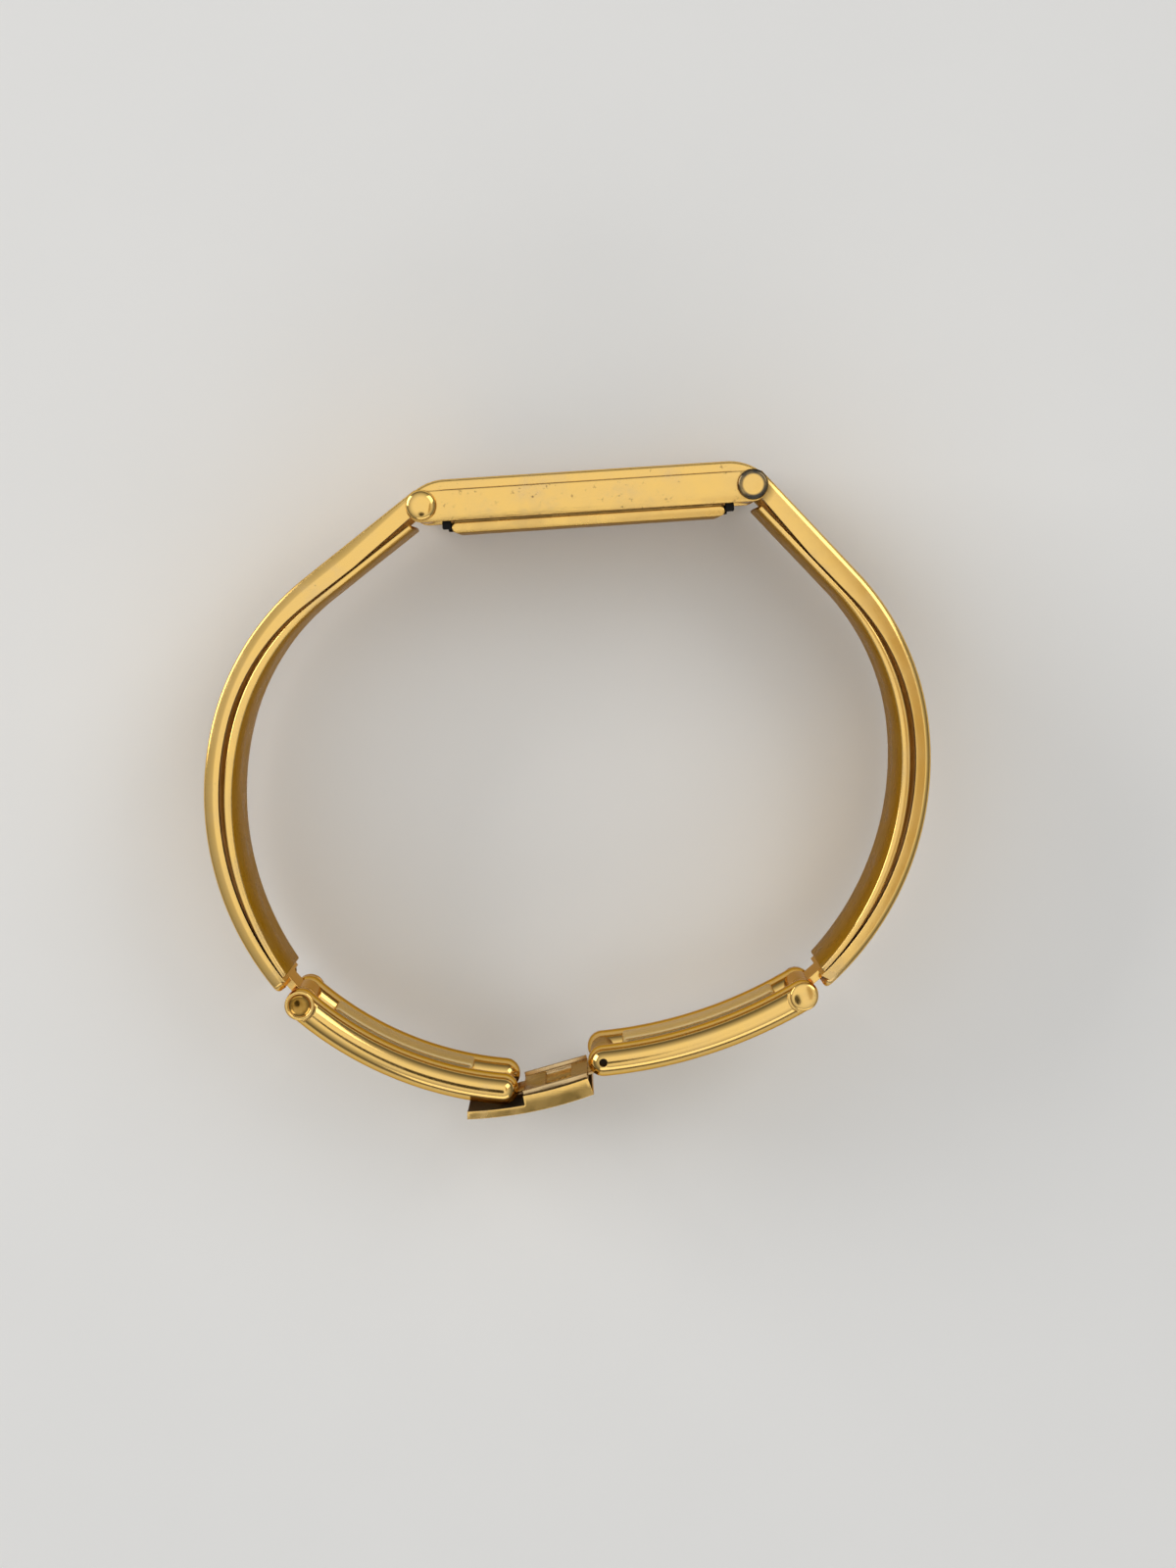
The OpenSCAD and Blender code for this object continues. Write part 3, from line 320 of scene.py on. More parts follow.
def paint(name, base, other, rough, scale, bump, depth, sheen=0.5):
    """Painted, plastic or rubber face with a fine mottle."""
    f = Finish(name)
    f.put("Specular IOR Level", sheen)
    soft, edges = f.soft_edges(0.08)
    mottle = f.noise(scale, 4.0, 0.6)
    tone = f.blend(f.spread(mottle, 0.35, 0.7), base, other)
    tone = f.blend(f.both(edges, 0.4), tone, tuple(min(1.0, 1.25 * c) for c in base))
    f.put("Base Color", tone)
    f.put("Roughness", f.spread(mottle, 0.3, 0.8, rough, min(1.0, rough * 1.4)))
    f.relief(mottle, bump, depth, soft)
    return f.material


def clear_glass(name):
    """Clear mineral glass with faint wipe marks."""
    f = Finish(name)
    f.put("Base Color", (0.98, 0.99, 0.985, 1.0))
    f.put("Transmission Weight", 1.0)
    f.put("IOR", 1.52)
    f.put("Roughness", f.spread(f.noise(260.0, 4.0, 0.6), 0.4, 0.75, 0.01, 0.07))
    scratches = f.noise(1.0, 2.0, 0.6, f.stretched((400.0, 400.0, 9000.0)))
    f.relief(scratches, 0.02, 0.01)
    return f.material


def make_finishes(c):
    """All finishes of the watch by name."""
    gold, rubbed, grime_and_shade = tuple(c.gold), tuple(c.rubbed), tuple(c.grime_and_shade)
    steel, brass, dial = tuple(c.steel), tuple(c.brass), tuple(c.dial)
    shade = times(0.62, rubbed)
    # darker gold for the linings, as painted shade on faces that look away from the light
    inner = times(0.72, gold)
    bare = (0.07, 0.065, 0.055)
    # base, worn tone, roughness, wear, share of dark specks and painted shade, grain and reach of
    # a rubbed edge
    metals = {
        "case_gold": (gold, rubbed, 0.15, 0.6, 0.85, 0.28, 0.12),
        "bezel_gold": (gold, rubbed, 0.15, 0.5, 0.5, 0.2, 0.1),
        "back_gold": (gold, shade, 0.22, 0.8, 0.6, 0.2, 0.1),
        "arm_gold": (gold, rubbed, 0.12, 0.5, 0.3, 0.12, 0.08),
        # painted shade: darker gold for the inner faces of the linings and the underside of the
        # caseback
        "shaded_gold": (inner, shade, 0.22, 0.5, 0.4, 0.15, 0.08),
        "link_gold": (gold, rubbed, 0.09, 0.4, 0.25, 0.05, 0.08),
        "link_middle": ((0.98, 0.78, 0.42), gold, 0.17, 0.4, 0.4, 0.2, 0.08),
        "dish_gold": (gold, rubbed, 0.12, 0.4, 0.4, 0.06, 0.06),
        # painted shade: near black for the inner faces of the clasp cover
        "clasp_shaded_inside": (times(0.4, shade), shade, 0.3, 0.6, 0.8, 0.2, 0.08),
        # painted shade: near black, so that the clasp pin shows as a shaded hole in the right link
        "shaded_pin": ((0.035, 0.032, 0.03), (0.08, 0.07, 0.06), 0.4, 0.3, 0.5, 0.2, 0.05),
        "pin_gold": (gold, rubbed, 0.10, 0.4, 0.4, 0.06, 0.06),
        "worn_pin": (gold, rubbed, 0.14, 0.6, 0.6, 0.08, 0.12),
        "clasp_gold": (gold, rubbed, 0.16, 0.6, 0.35, 0.14, 0.08),
        "clasp_plate": (rubbed, shade, 0.20, 0.6, 0.5, 0.2, 0.08),
        "steel": (steel, (0.42, 0.42, 0.44), 0.24, 0.4, 0.2, 0.1, 0.04, 0.0),
        "brass": (brass, (0.55, 0.42, 0.22), 0.26, 0.4, 0.2, 0.1, 0.03, 0.0),
        "copper": ((0.72, 0.32, 0.16), (0.5, 0.2, 0.1), 0.3, 0.4, 0.3, 0.5, 0.03, 1.57),
    }
    marks = {
        "case_gold": {"speck": (1700.0, 0.61, 0.68)},
        "bezel_gold": {"speck": (2000.0, 0.63, 0.70)},
        # darker about the head of the right case pin
        "arm_gold": {"ring": (RIGHT_PIN, 2.1, 1.45, (0.33, 0.22, 0.08))},
        # darker brown in the middle of the dished heads
        "dish_gold": {"ring": (LEFT_FOOT, 0.97, 0.84, (0.34, 0.18, 0.03))},
        "worn_pin": {"ring": (RIGHT_PIN, 0.80, 0.96, bare)},
    }
    # base, second tone, roughness, scale and strength of the mottle, its depth, sheen
    paints = {
        "dial_face": (dial, times(0.94, dial), 0.38, 1500.0, 0.05, 0.01),
        "hand_black": ((0.02, 0.02, 0.022), (0.035, 0.035, 0.04), 0.22, 2500.0, 0.04, 0.01, 0.6),
        "seal_rubber": ((0.006, 0.006, 0.006), (0.014, 0.013, 0.012), 0.7, 2200.0, 0.2, 0.02, 0.2),
        "holder_plastic": ((0.72, 0.72, 0.68), (0.64, 0.63, 0.58), 0.45, 1200.0, 0.08, 0.02),
        "board_green": ((0.02, 0.16, 0.06), (0.03, 0.22, 0.09), 0.4, 1800.0, 0.15, 0.02),
    }
    made = {name: metal(name, grime_and_shade, *values, **marks.get(name, {}))
            for name, values in metals.items()}
    made.update({name: paint(name, *values) for name, values in paints.items()})
    made["crystal_glass"] = clear_glass("crystal_glass")
    return made


# the CAD nodes by finish, also those that a new piece stands for
NODE_FINISHES = {
    "case_gold": "case_frame caseback",
    "bezel_gold": "bezel hour_markers crown",
    "arm_gold": "left_arm_shell right_arm_shell",
    "shaded_gold": "left_arm_lining right_arm_lining",
    "link_gold": "left_arm_tongue right_arm_tongue left_link_rails right_link_rails "
                 "left_link_bar right_link_bar",
    "pin_gold": "left_case_pin left_link_pin right_link_pin catch_bar",
    "worn_pin": "right_case_pin",
    "shaded_pin": "clasp_pin",
    "clasp_gold": "clasp_cover",
    "clasp_plate": "clasp_ladder",
    "crystal_glass": "crystal",
    "seal_rubber": "crystal_gasket caseback_gasket",
    "dial_face": "dial",
    "hand_black": "hour_hand minute_hand",
    "holder_plastic": "movement_holder",
    "board_green": "circuit_board",
    "copper": "coil",
    "brass": "main_plate train_bridge intermediate_wheel third_wheel centre_wheel "
             "cannon_pinion minute_wheel hour_wheel",
    "steel": "battery battery_strap quartz_can coil_core stator rotor bridge_screws "
             "setting_lever stem crown_gasket",
}

FINISHES = {}


# Work at the bench

def start_shaping():
    bpy.ops.object.mode_set(mode="EDIT")


def stop_shaping():
    bpy.ops.object.mode_set(mode="OBJECT")


def clear_bench():
    """Leaves edit mode and deselects everything."""
    if bpy.context.object and bpy.context.object.mode != "OBJECT":
        stop_shaping()
    bpy.ops.object.select_all(action="DESELECT")


def only(obj):
    """Makes one object active and selected, in object mode."""
    clear_bench()
    obj.select_set(True)
    bpy.context.view_layer.objects.active = obj


def everything():
    bpy.ops.mesh.select_all(action="SELECT")


def new_plate(x0, x1, y0, y1):
    """A flat plate between two corners in plan, selected and in edit mode."""
    clear_bench()
    bpy.ops.mesh.primitive_plane_add(size=1.0)
    obj = bpy.context.object
    start_shaping()
    bpy.ops.transform.resize(value=(x1 - x0, y1 - y0, 1.0))
    move((x0 + x1) / 2, (y0 + y1) / 2)
    everything()
    return obj


def new_disc(radius, sides=48):
    """A round disc about the origin, selected and in edit mode."""
    clear_bench()
    bpy.ops.mesh.primitive_circle_add(vertices=sides, radius=radius, fill_type="NGON")
    start_shaping()
    return bpy.context.object


def move(x=0.0, y=0.0, z=0.0):
    bpy.ops.transform.translate(value=(x, y, z))


def pull(x=0.0, y=0.0, z=0.0):
    """Extrudes what is selected."""
    bpy.ops.mesh.extrude_region_move(TRANSFORM_OT_translate={"value": (x, y, z)})


def grow(x, y, z=1.0, **about):
    """Resizes what is selected, about its middle or about center_override."""
    bpy.ops.transform.resize(value=(x, y, z), **about)


def tilt(angle, centre=(0.0, 0.0, 0.0), axis="Z"):
    """Turns what is selected, anticlockwise for a positive angle seen against the axis."""
    bpy.ops.transform.rotate(value=-angle, orient_axis=axis, center_override=centre)


def stand_up():
    """Turns a flat section so that its second direction runs along the wrist."""
    tilt(math.pi / 2, axis="X")


def sweep_round(angle, centre, steps):
    """Spins what is selected about a centre, anticlockwise for a positive angle."""
    bpy.ops.mesh.spin(steps=steps, angle=-angle, center=(*centre, 0.0), axis=(0.0, 0.0, 1.0))


def soften_corners(reach, segments):
    """Rounds the selected corners of a flat section."""
    bpy.ops.mesh.bevel(offset=reach, segments=segments, affect="VERTICES", clamp_overlap=True)


def pick(obj, test, kind="VERT"):
    """In edit mode, selects the corners that pass a test on their place, or the faces."""
    bpy.ops.mesh.select_mode(type=kind)
    bpy.ops.mesh.select_all(action="DESELECT")
    mesh = bmesh.from_edit_mesh(obj.data)
    if kind == "VERT":
        chosen = [corner for corner in mesh.verts if test(corner.co)]
    else:
        chosen = [face for face in mesh.faces if test(face)]
    if not chosen:
        raise ValueError("nothing was picked on " + obj.name)
    for item in chosen:
        item.select = True
    mesh.select_flush_mode()
    bmesh.update_edit_mesh(obj.data)


def close_up(gap=0.0005):
    """Merges doubled corners and turns every face outwards."""
    everything()
    bpy.ops.mesh.remove_doubles(threshold=gap)
    bpy.ops.mesh.normals_make_consistent(inside=False)


def closed(obj, gap=0.0005):
    """Closes a piece and leaves edit mode."""
    close_up(gap)
    stop_shaping()
    return obj


def turn_out(obj):
    """Turns every face of a piece outwards."""
    only(obj)
    start_shaping()
    everything()
    bpy.ops.mesh.normals_make_consistent(inside=False)
    stop_shaping()


def modify(obj, kind, **values):
    """Gives a piece a modifier and applies it."""
    only(obj)
    modifier = obj.modifiers.new(kind.title(), kind)
    for key, value in values.items():
        setattr(modifier, key, value)
    bpy.ops.object.modifier_apply(modifier=modifier.name)


def cut_with(obj, tool, way="DIFFERENCE"):
    """Cuts or joins with another solid, which is used up."""
    modify(obj, "BOOLEAN", operation=way, object=tool, solver="EXACT")
    bpy.data.objects.remove(tool)


def round_edges(obj, width, segments=3, angle=35.0):
    modify(obj, "BEVEL", width=width, segments=segments, limit_method="ANGLE",
           angle_limit=math.radians(angle), harden_normals=False, miter_outer="MITER_ARC")


def finish_piece(obj, name, finish, body, nodes, slot, smooth, place, turn=0.0, flip=False):
    """Brings a piece made in millimetres to its place in the frame, in metres.

    Its faces are turned outwards there, and it gets its name, finish and body."""
    only(obj)
    obj.scale = (-MM if flip else MM, MM, MM)
    obj.rotation_euler = (0.0, 0.0, turn)
    obj.location = Vector(place) * MM
    bpy.ops.object.transform_apply()
    turn_out(obj)
    obj.name = name
    obj.data.name = name
    bpy.ops.object.shade_smooth_by_angle(angle=math.radians(smooth))
    obj.data.materials.clear()
    obj.data.materials.append(FINISHES[finish])
    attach(obj, body)
    if nodes:
        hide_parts(*nodes)


def shade_by_facing(obj, finish, test):
    """Gives the faces whose normal passes a test another finish: lit and shaded copies of one
    gold, as painted shade.
    """
    obj.data.materials.append(FINISHES[finish])
    for face in obj.data.polygons:
        if test(face.normal):
            face.material_index = 1


def joined(objects):
    """One object out of several closed solids."""
    only(objects[0])
    for obj in objects:
        obj.select_set(True)
    bpy.ops.object.join()
    return bpy.context.object


def copy_of(obj):
    only(obj)
    bpy.ops.object.duplicate(linked=False)
    return bpy.context.object


def shifted(obj, way):
    only(obj)
    obj.location = way
    bpy.ops.object.transform_apply()
    return obj


def mirrored(obj, z=-1.0):
    """Turns a closed solid over along the wrist axis."""
    only(obj)
    obj.scale = (1.0, 1.0, z)
    bpy.ops.object.transform_apply()
    turn_out(obj)
    return obj


def round_bar(radius, low, high, sides=64):
    """A closed round bar along the wrist axis."""
    obj = new_disc(radius, sides)
    move(z=low)
    pull(z=high - low)
    return closed(obj)


def block(x0, x1, y0, y1, z0, z1):
    """A closed block between two corners."""
    obj = new_plate(x0, x1, y0, y1)
    move(z=z0)
    pull(z=z1 - z0)
    return closed(obj)


def turned(profile, sides=56):
    """A turned piece: a disc drawn up and in or out at each step of radius and height."""
    obj = new_disc(profile[0][0], sides)
    move(z=profile[0][1])
    for (r0, z0), (r1, z1) in zip(profile, profile[1:]):
        pull(z=z1 - z0)
        grow(r1 / r0, r1 / r0, center_override=(0.0, 0.0, z1))
    return closed(obj, 0.00005)


def both_ends(head, shaft):
    """A pin: its head, the same head at the far end, and the shaft between."""
    return joined([head, mirrored(copy_of(head)), shaft])


# Pieces of the case

def side_plate(s):
    """Side plate of the case, round about both pins, with eased edges."""
    half = s.plate_height / 2
    bore, bore_sides = 0.53, 32
    obj = new_plate(-PIN_X - half, PIN_X + half, -half - PLATE_DROP, half - PLATE_DROP)
    soften_corners(half - 0.002, 14)
    everything()
    move(z=s.width / 2 - s.plate)
    pull(z=s.plate)
    closed(obj)
    round_edges(obj, 0.08, 3, 60.0)
    for x in (-PIN_X, PIN_X):
        cut_with(obj, shifted(round_bar(bore, 0.0, s.width, bore_sides), (x, 0.0, 0.0)))
    return obj


def case_walls(s):
    """Both side plates with the end walls between them."""
    stem_bore = 0.78
    near = side_plate(s)
    far = mirrored(copy_of(near))
    cut_with(far, shifted(round_bar(stem_bore, -s.width, 0.0, 40), (0.0, STEM_LEVEL, 0.0)))
    reach = s.width / 2 - s.plate + 0.03
    low, high = -1.41, 1.16
    walls = []
    for side in (-1, 1):
        x0, x1 = sorted((side * (PIN_X - END_WALL_IN), side * (PIN_X - END_WALL_OUT)))
        wall = block(x0, x1, low, high, -reach, reach)
        round_edges(wall, 0.08, 2)
        walls.append(wall)
    return joined([near, far, *walls])


def bezel_ring(s):
    """Bezel drawn along its flat top and round both dropped ends, opened for the crystal."""
    half, low = s.width / 2 - s.recess, s.plate_height / 2 - PLATE_DROP
    top, flat = low + s.bezel, PIN_X - 2.1
    drop, drop_steps = math.radians(50.0), 18
    end_border, side_border, ledge, lip = 4.5, 2.9, 0.8, 0.25
    arm_room = 1.63
    obj = new_plate(low + HAIR, top, -half, half)
    pick(obj, lambda co: co.x > top - 0.01)
    soften_corners(0.28, 5)
    everything()
    stand_up()
    tilt(math.pi / 2)
    move(-flat)
    pull(2 * flat)
    sweep_round(-drop, (flat, top - s.bezel_end), drop_steps)
    pick(obj, lambda face: face.normal.x < -0.99
         and face.calc_center_median().x < 0.01 - flat, "FACE")
    sweep_round(drop, (-flat, top - s.bezel_end), drop_steps)
    closed(obj)
    lug = s.width / 2 - s.plate
    x, z = PIN_X - end_border, s.width / 2 - side_border
    for tool in (
            window_tool(x + ledge, z + ledge, low - 1.0, top - lip),
            window_tool(x, z, low - 1.0, top + 1.0),
            window_tool(x, z, top - 0.24, top + 0.16, 1.0)):
        cut_with(obj, tool)
    for side in (-1, 1):
        x0, x1 = sorted((side * PIN_X, side * (PIN_X + 3.0)))
        cut_with(obj, block(x0, x1, -2.0, top + 1.0, -lug, lug))
        cut_with(obj, shifted(round_bar(arm_room, -lug, lug), (side * PIN_X, 0.0, 0.0)))
    return obj


def window_tool(x, z, low, high, flare=0.0):
    """Cutter for the window between two heights, opened out at the top by a flare."""
    obj = block(-x, x, -z, z, -high, -low)
    if flare:
        start_shaping()
        pick(obj, lambda co: co.z < 0.001 - high)
        grow((x + flare) / x, (z + flare) / z, center_override=(0.0, 0.0, -high))
        stop_shaping()
    only(obj)
    obj.rotation_euler = (math.pi / 2, 0.0, 0.0)
    bpy.ops.object.transform_apply()
    return obj


def back_cover(s):
    """Stepped caseback with rounded long ends and a hollow inside."""
    sheet = 0.5
    plate_low = -s.plate_height / 2 - PLATE_DROP
    long_half, wide_half = PIN_X - 2.45, s.width / 2 - s.plate + 0.7
    rim_x, rim_z = PIN_X - END_WALL_IN - 0.35, s.width / 2 - s.plate - 0.35
    obj = new_plate(-long_half, long_half, BACK_LOW, plate_low - 0.2)
    soften_corners(0.42, 6)
    everything()
    move(z=-wide_half)
    pull(z=2 * wide_half)
    closed(obj)
    round_edges(obj, 0.16, 3, 60.0)
    for x, z, y0, y1 in (
            (rim_x + 0.2, rim_z + 0.2, plate_low - 0.25, plate_low - 0.005),
            (rim_x, rim_z, plate_low - 0.3, plate_low + 0.45)):
        cut_with(obj, block(-x, x, y0, y1, -z, z), "UNION")
    cut_with(obj, block(sheet - rim_x, rim_x - sheet, BACK_LOW + sheet, 1.0,
                        sheet - rim_z, rim_z - sheet))
    return obj


def end_shade_blocks():
    """Four black blocks at the ends of the caseback: painted shade, standing in for the deep shade
    there.
    """
    half, low, high, near, far = 0.36, -2.12, -1.40, 6.1, 7.5
    first = block(-half, half, low, high, near, far)
    round_edges(first, 0.10, 2)
    shade_blocks = [shifted(mirrored(copy_of(first), z), (x, 0.0, 0.0))
            for z in (-1.0, 1.0) for x in (SHADE_BLOCK_IN - PIN_X, PIN_X - SHADE_BLOCK_IN)]
    bpy.data.objects.remove(first)
    return joined(shade_blocks)


def fluted_crown():
    """Crown: a ring with pulled-in flutes, a domed cap and a hollow for the case tube."""
    radius, sides = 1.24, 80
    side_angle, past_turn = 360.0 / sides, 7.0
    flute, foot, rim, hollow = 0.925, 0.97, 0.32, 0.2
    obj = new_disc(radius, sides)
    pick(obj, lambda co: int(
        math.degrees(math.atan2(co.y, co.x) + past_turn) / side_angle) % 4 in (0, 1))
    grow(flute, flute)
    everything()
    grow(foot, foot)
    for rise, k in (
            (0.10, 1.03), (0.66, 1.0), (0.08, 0.97), (0.06, 0.93), (0.04, 0.80), (0.01, 0.4)):
        pull(z=rise)
        grow(k, k)
    pick(obj, lambda face: len(face.verts) > 4
         and abs(face.calc_center_median().z) < 0.001, "FACE")
    bpy.ops.mesh.inset(thickness=rim, depth=0.0)
    pull(z=hollow)
    return closed(obj)


# Pieces of the clasp

def clasp_arc(s, run, x0, x1, r0, r1, z0, z1, steps=20):
    """Part of the curved cover: a flat section swept about the centre of its curve."""
    centre = (run * 0.47, s.curve - s.depth)
    a0, a1 = (math.asin((x - centre[0]) / s.curve) for x in (x0, x1))
    obj = new_plate(-r1, -r0, z0, z1)
    stand_up()
    tilt(math.pi / 2)
    move(*centre)
    tilt(a0, (*centre, 0.0))
    sweep_round(a1 - a0, centre, steps)
    return closed(obj)


def clasp_shell(s, run):
    """Cover: a curved sheet with low walls, a window and a free thumb end."""
    half, border = CLASP_HALF, 1.2
    start, end, tip = CLASP_START, run - CLASP_END_GAP, run + s.thumb
    span = end - start
    obj = clasp_arc(s, run, start - 0.12, tip, s.curve - s.sheet, s.curve, -half, half, 32)
    high_wall, low_wall = 1.5, 0.68
    walls = [clasp_arc(s, run, x0, x1, s.curve - rise, s.curve - 0.03, z0, z1)
             for z0, z1 in ((-half, s.wall - half), (half - s.wall, half))
             for x0, x1, rise in ((start - 0.1, end + 0.2, high_wall),
                                  (start - 0.06, tip - 0.02, low_wall))]
    for wall in walls:
        cut_with(obj, wall, "UNION")
    cut_with(obj, block(start + 0.22 * span, start + 0.82 * span, -6.0, 0.0,
                        border - half, half - border))
    round_edges(obj, 0.09, 3, 50.0)
    return obj


def clasp_plate(s, run):
    """Slotted plate with low walls, a knuckle on the clasp pin and a saddle for the catch bar."""
    half = CLASP_HALF - s.wall - 0.04
    start, end = CLASP_START, run - CLASP_END_GAP
    span = end - start
    low, sheet, wall, border = -1.15, 0.3, 0.4, 1.0
    tongue, catch, knuckle, pin_bore = 2.7, 0.4, 1.05, 0.45
    far_end = run + catch + 0.35
    obj = block(start, end, low, low + sheet, -half, half)
    for piece in (
            block(start, end, low + HAIR, low + 0.62, -half, wall - half),
            block(start, end, low + HAIR, low + 0.62, half - wall, half),
            block(0.0, far_end, low + 0.004, low + sheet - 0.004, -tongue, tongue),
            block(far_end - 0.3, far_end - HAIR, low + 0.02, -0.02, -tongue, tongue),
            block(run - catch - 0.35, run - catch - 0.05, low + 0.02, -0.02,
                  HAIR - tongue, tongue - HAIR),
            round_bar(knuckle, 0.02 - tongue, tongue - 0.02, 48)):
        cut_with(obj, piece, "UNION")
    cut_with(obj, round_bar(pin_bore, -half, half, 40))
    cut_with(obj, block(start + 0.26 * span, start + 0.67 * span, low - 1.0, low + 1.0,
                        border - half, half - border))
    round_edges(obj, 0.06, 2, 50.0)
    return obj


# Pieces of the bangle

def arm_path(s):
    """Centres of both bends, straight run and end angle of an arm, its pin at the origin."""
    foot_depth, end_gap = 0.62, 2.65
    upper = Vector((s.rise - s.upper_bend, -s.peak))
    lower = Vector((s.rise - s.lower_bend, -s.peak))
    run = (s.rise - s.upper_bend) * math.sin(s.shoulder) + s.peak * math.cos(s.shoulder)
    foot = math.acos((s.lower_bend - s.rise) / (s.lower_bend - foot_depth))
    return upper, lower, run, foot - end_gap / s.lower_bend


def arm_ways(s):
    """Directions down the straight run of an arm and out across it."""
    down = Vector((math.sin(s.shoulder), -math.cos(s.shoulder)))
    return down, Vector((math.cos(s.shoulder), math.sin(s.shoulder)))


def above_straight(place, upper, s, slack=0.0):
    """True for what lies on the upper bend and not on the straight run."""
    return (place - upper).angle_signed(Vector((1, 0))) < s.shoulder + slack


def inner_circle(r, at_peak, at_end, angle):
    """Offset and radius of the circle that holds one depth at the peak, another at an angle."""
    inner = r - at_end
    offset = ((r - at_peak) ** 2 - inner ** 2) / (2 * (r - at_peak - inner * math.cos(angle)))
    return offset, r - at_peak - offset


def reshape_rim(obj, s, depth, at_case, at_peak, at_foot):
    """Moves the faces at one depth of a swept arm to a depth that varies along the arm."""
    upper, lower, _, end = arm_path(s)
    for centre, bend, at_end, angle, on_bend in (
            (upper, s.upper_bend, at_case, s.shoulder,
             lambda co: co.y > -s.peak - 0.001 and above_straight(co.xy, upper, s, 0.02)),
            (lower, s.lower_bend, at_foot, end, lambda co: co.y < -s.peak - 0.001)):
        offset, radius = inner_circle(bend, at_peak, at_end, angle)
        pick(obj, lambda co: abs((co.xy - centre).length - (bend - depth)) < 0.004 and on_bend(co))
        k = radius / (bend - depth)
        grow(k, k, center_override=(*centre, 0.0))
        move(offset)


def sweep_arm(s, start, first_step, lower_steps):
    """Draws a section down an arm, along its straight run and round both bends.

    It starts at a distance below the pin. The straight run is drawn in two steps where a first
    step is given."""
    upper, lower, run, end = arm_path(s)
    down = arm_ways(s)[0]
    stand_up()
    move(y=-start)
    tilt(s.shoulder)
    if first_step:
        pull(*(down * first_step))
    pull(*(down * (run - start - first_step)))
    sweep_round(-s.shoulder, upper, BEND_STEPS)
    sweep_round(-end, lower, lower_steps)


def arm_band(s, facet, drop):
    """Outer shell of an arm: a section with a sloped facet, swept down and hollowed inside."""
    upper, lower, _, end = arm_path(s)
    down, across = arm_ways(s)
    half, low = s.width / 2, s.skin - BAND_DEPTH
    obj = new_plate(low, s.skin, -half, half)
    bpy.ops.mesh.bisect(plane_co=(s.skin - facet, 0.0, 0.0), plane_no=(1.0, 0.0, 0.0))
    pick(obj, lambda co: co.x > s.skin - 0.01)
    grow(1.0, (half - drop) / half)
    pick(obj, lambda co: co.x > s.skin - 0.01)
    soften_corners(0.16, 4)
    pick(obj, lambda co: abs(co.x - s.skin + facet) < 0.01)
    soften_corners(0.10, 2)
    everything()
    sweep_arm(s, -0.3, 8.0, 28)

    def pick_case_end(test):
        pick(obj, lambda co: co.xy.dot(down) < 0.1 and test(co.xy.dot(across)))

    # the facet runs out to nothing at the case
    pick_case_end(lambda out: abs(out - s.skin + facet) < 0.13)
    move(*(across * (facet - 0.32)))
    pick_case_end(lambda out: out > s.skin - 0.18)
    grow(1.0, 1.0, (half - 0.1) / (half - drop))
    pick_case_end(lambda out: out < low + 0.05)
    move(*(across * 0.38))
    reshape_rim(obj, s, BAND_DEPTH, 1.9, 1.28, 1.15)
    close_up()
    # hollow under the skin
    pick(obj, lambda face: is_inner(face, s, upper, lower, across), "FACE")
    bpy.ops.mesh.inset(thickness=s.wall, depth=0.0, use_even_offset=True, use_boundary=True)
    bpy.ops.mesh.extrude_region_shrink_fatten(TRANSFORM_OT_shrink_fatten={"value": -0.62})
    close_up()
    # eased nose at the foot
    onward = Vector((-math.sin(end), -math.cos(end)))
    pick(obj, lambda face: face.normal.xy.dot(onward) > 0.95
         and abs((face.calc_center_median().xy - lower).dot(onward)) < 0.05, "FACE")
    for step, k in ((0.20, 0.98), (0.20, 0.94), (0.16, 0.87), (0.10, 0.78)):
        pull(*(onward * step))
        grow(k, k, 1.0 - (1.0 - k) * 0.5)
    closed(obj)
    cut_with(obj, round_bar(1.3, -half + 0.05, half - 0.05), "UNION")
    cut_with(obj, round_bar(0.55, -half - 1.0, half + 1.0))
    return obj


def is_inner(face, s, upper, lower, across):
    """True for the broad faces of an arm that look towards the wrist."""
    middle = face.calc_center_median()
    if abs(face.normal.z) >= 0.1 or abs(middle.z) >= 0.01 or face.calc_area() < 0.5:
        return False
    if middle.y < -s.peak:
        way = middle.xy - lower
    elif above_straight(middle.xy, upper, s):
        way = middle.xy - upper
    else:
        way = across
    return face.normal.xy.dot(way.normalized()) < -0.8


def arm_lining(s):
    """Inner sheet of an arm, swept as a plain sheet, with eased edges and a square end."""
    _, lower, _, end = arm_path(s)
    half = s.width / 2 - 0.03
    obj = new_plate(s.skin - SHEET_DEPTH - s.lining, s.skin - SHEET_DEPTH, -half, half)
    sweep_arm(s, 1.8, 0.0, 40)
    for extra, at_peak in ((0.0, 1.75), (s.lining, 2.5)):
        reshape_rim(obj, s, SHEET_DEPTH + extra, SHEET_DEPTH + extra, at_peak, 1.17 + extra)
    # the end stops clear of the link
    stop = end - 0.15 / s.lower_bend
    everything()
    bpy.ops.mesh.bisect(plane_co=(*lower, 0.0), plane_no=(-math.sin(stop), -math.cos(stop), 0.0),
                        clear_outer=True, use_fill=True)
    closed(obj)
    round_edges(obj, 0.13, 3, 60.0)
    return obj


def bend_of(run, bulge):
    """Radius and half angle of a bend between two pins."""
    r = run * run / (8 * bulge) + bulge / 2
    return r, math.asin(run / 2 / r)


def rounded_section(height, width, reach, segments):
    """Flat section of a rounded bar, selected and in edit mode."""
    obj = new_plate(-height / 2, height / 2, -width / 2, width / 2)
    soften_corners(reach, segments)
    everything()
    return obj


def pick_mid_face(obj):
    """Selects the flat faces that look across the section at the start of a sweep."""
    pick(obj, lambda face: abs(face.normal.y) > 0.99
         and abs(face.calc_center_median().y) < 0.001, "FACE")


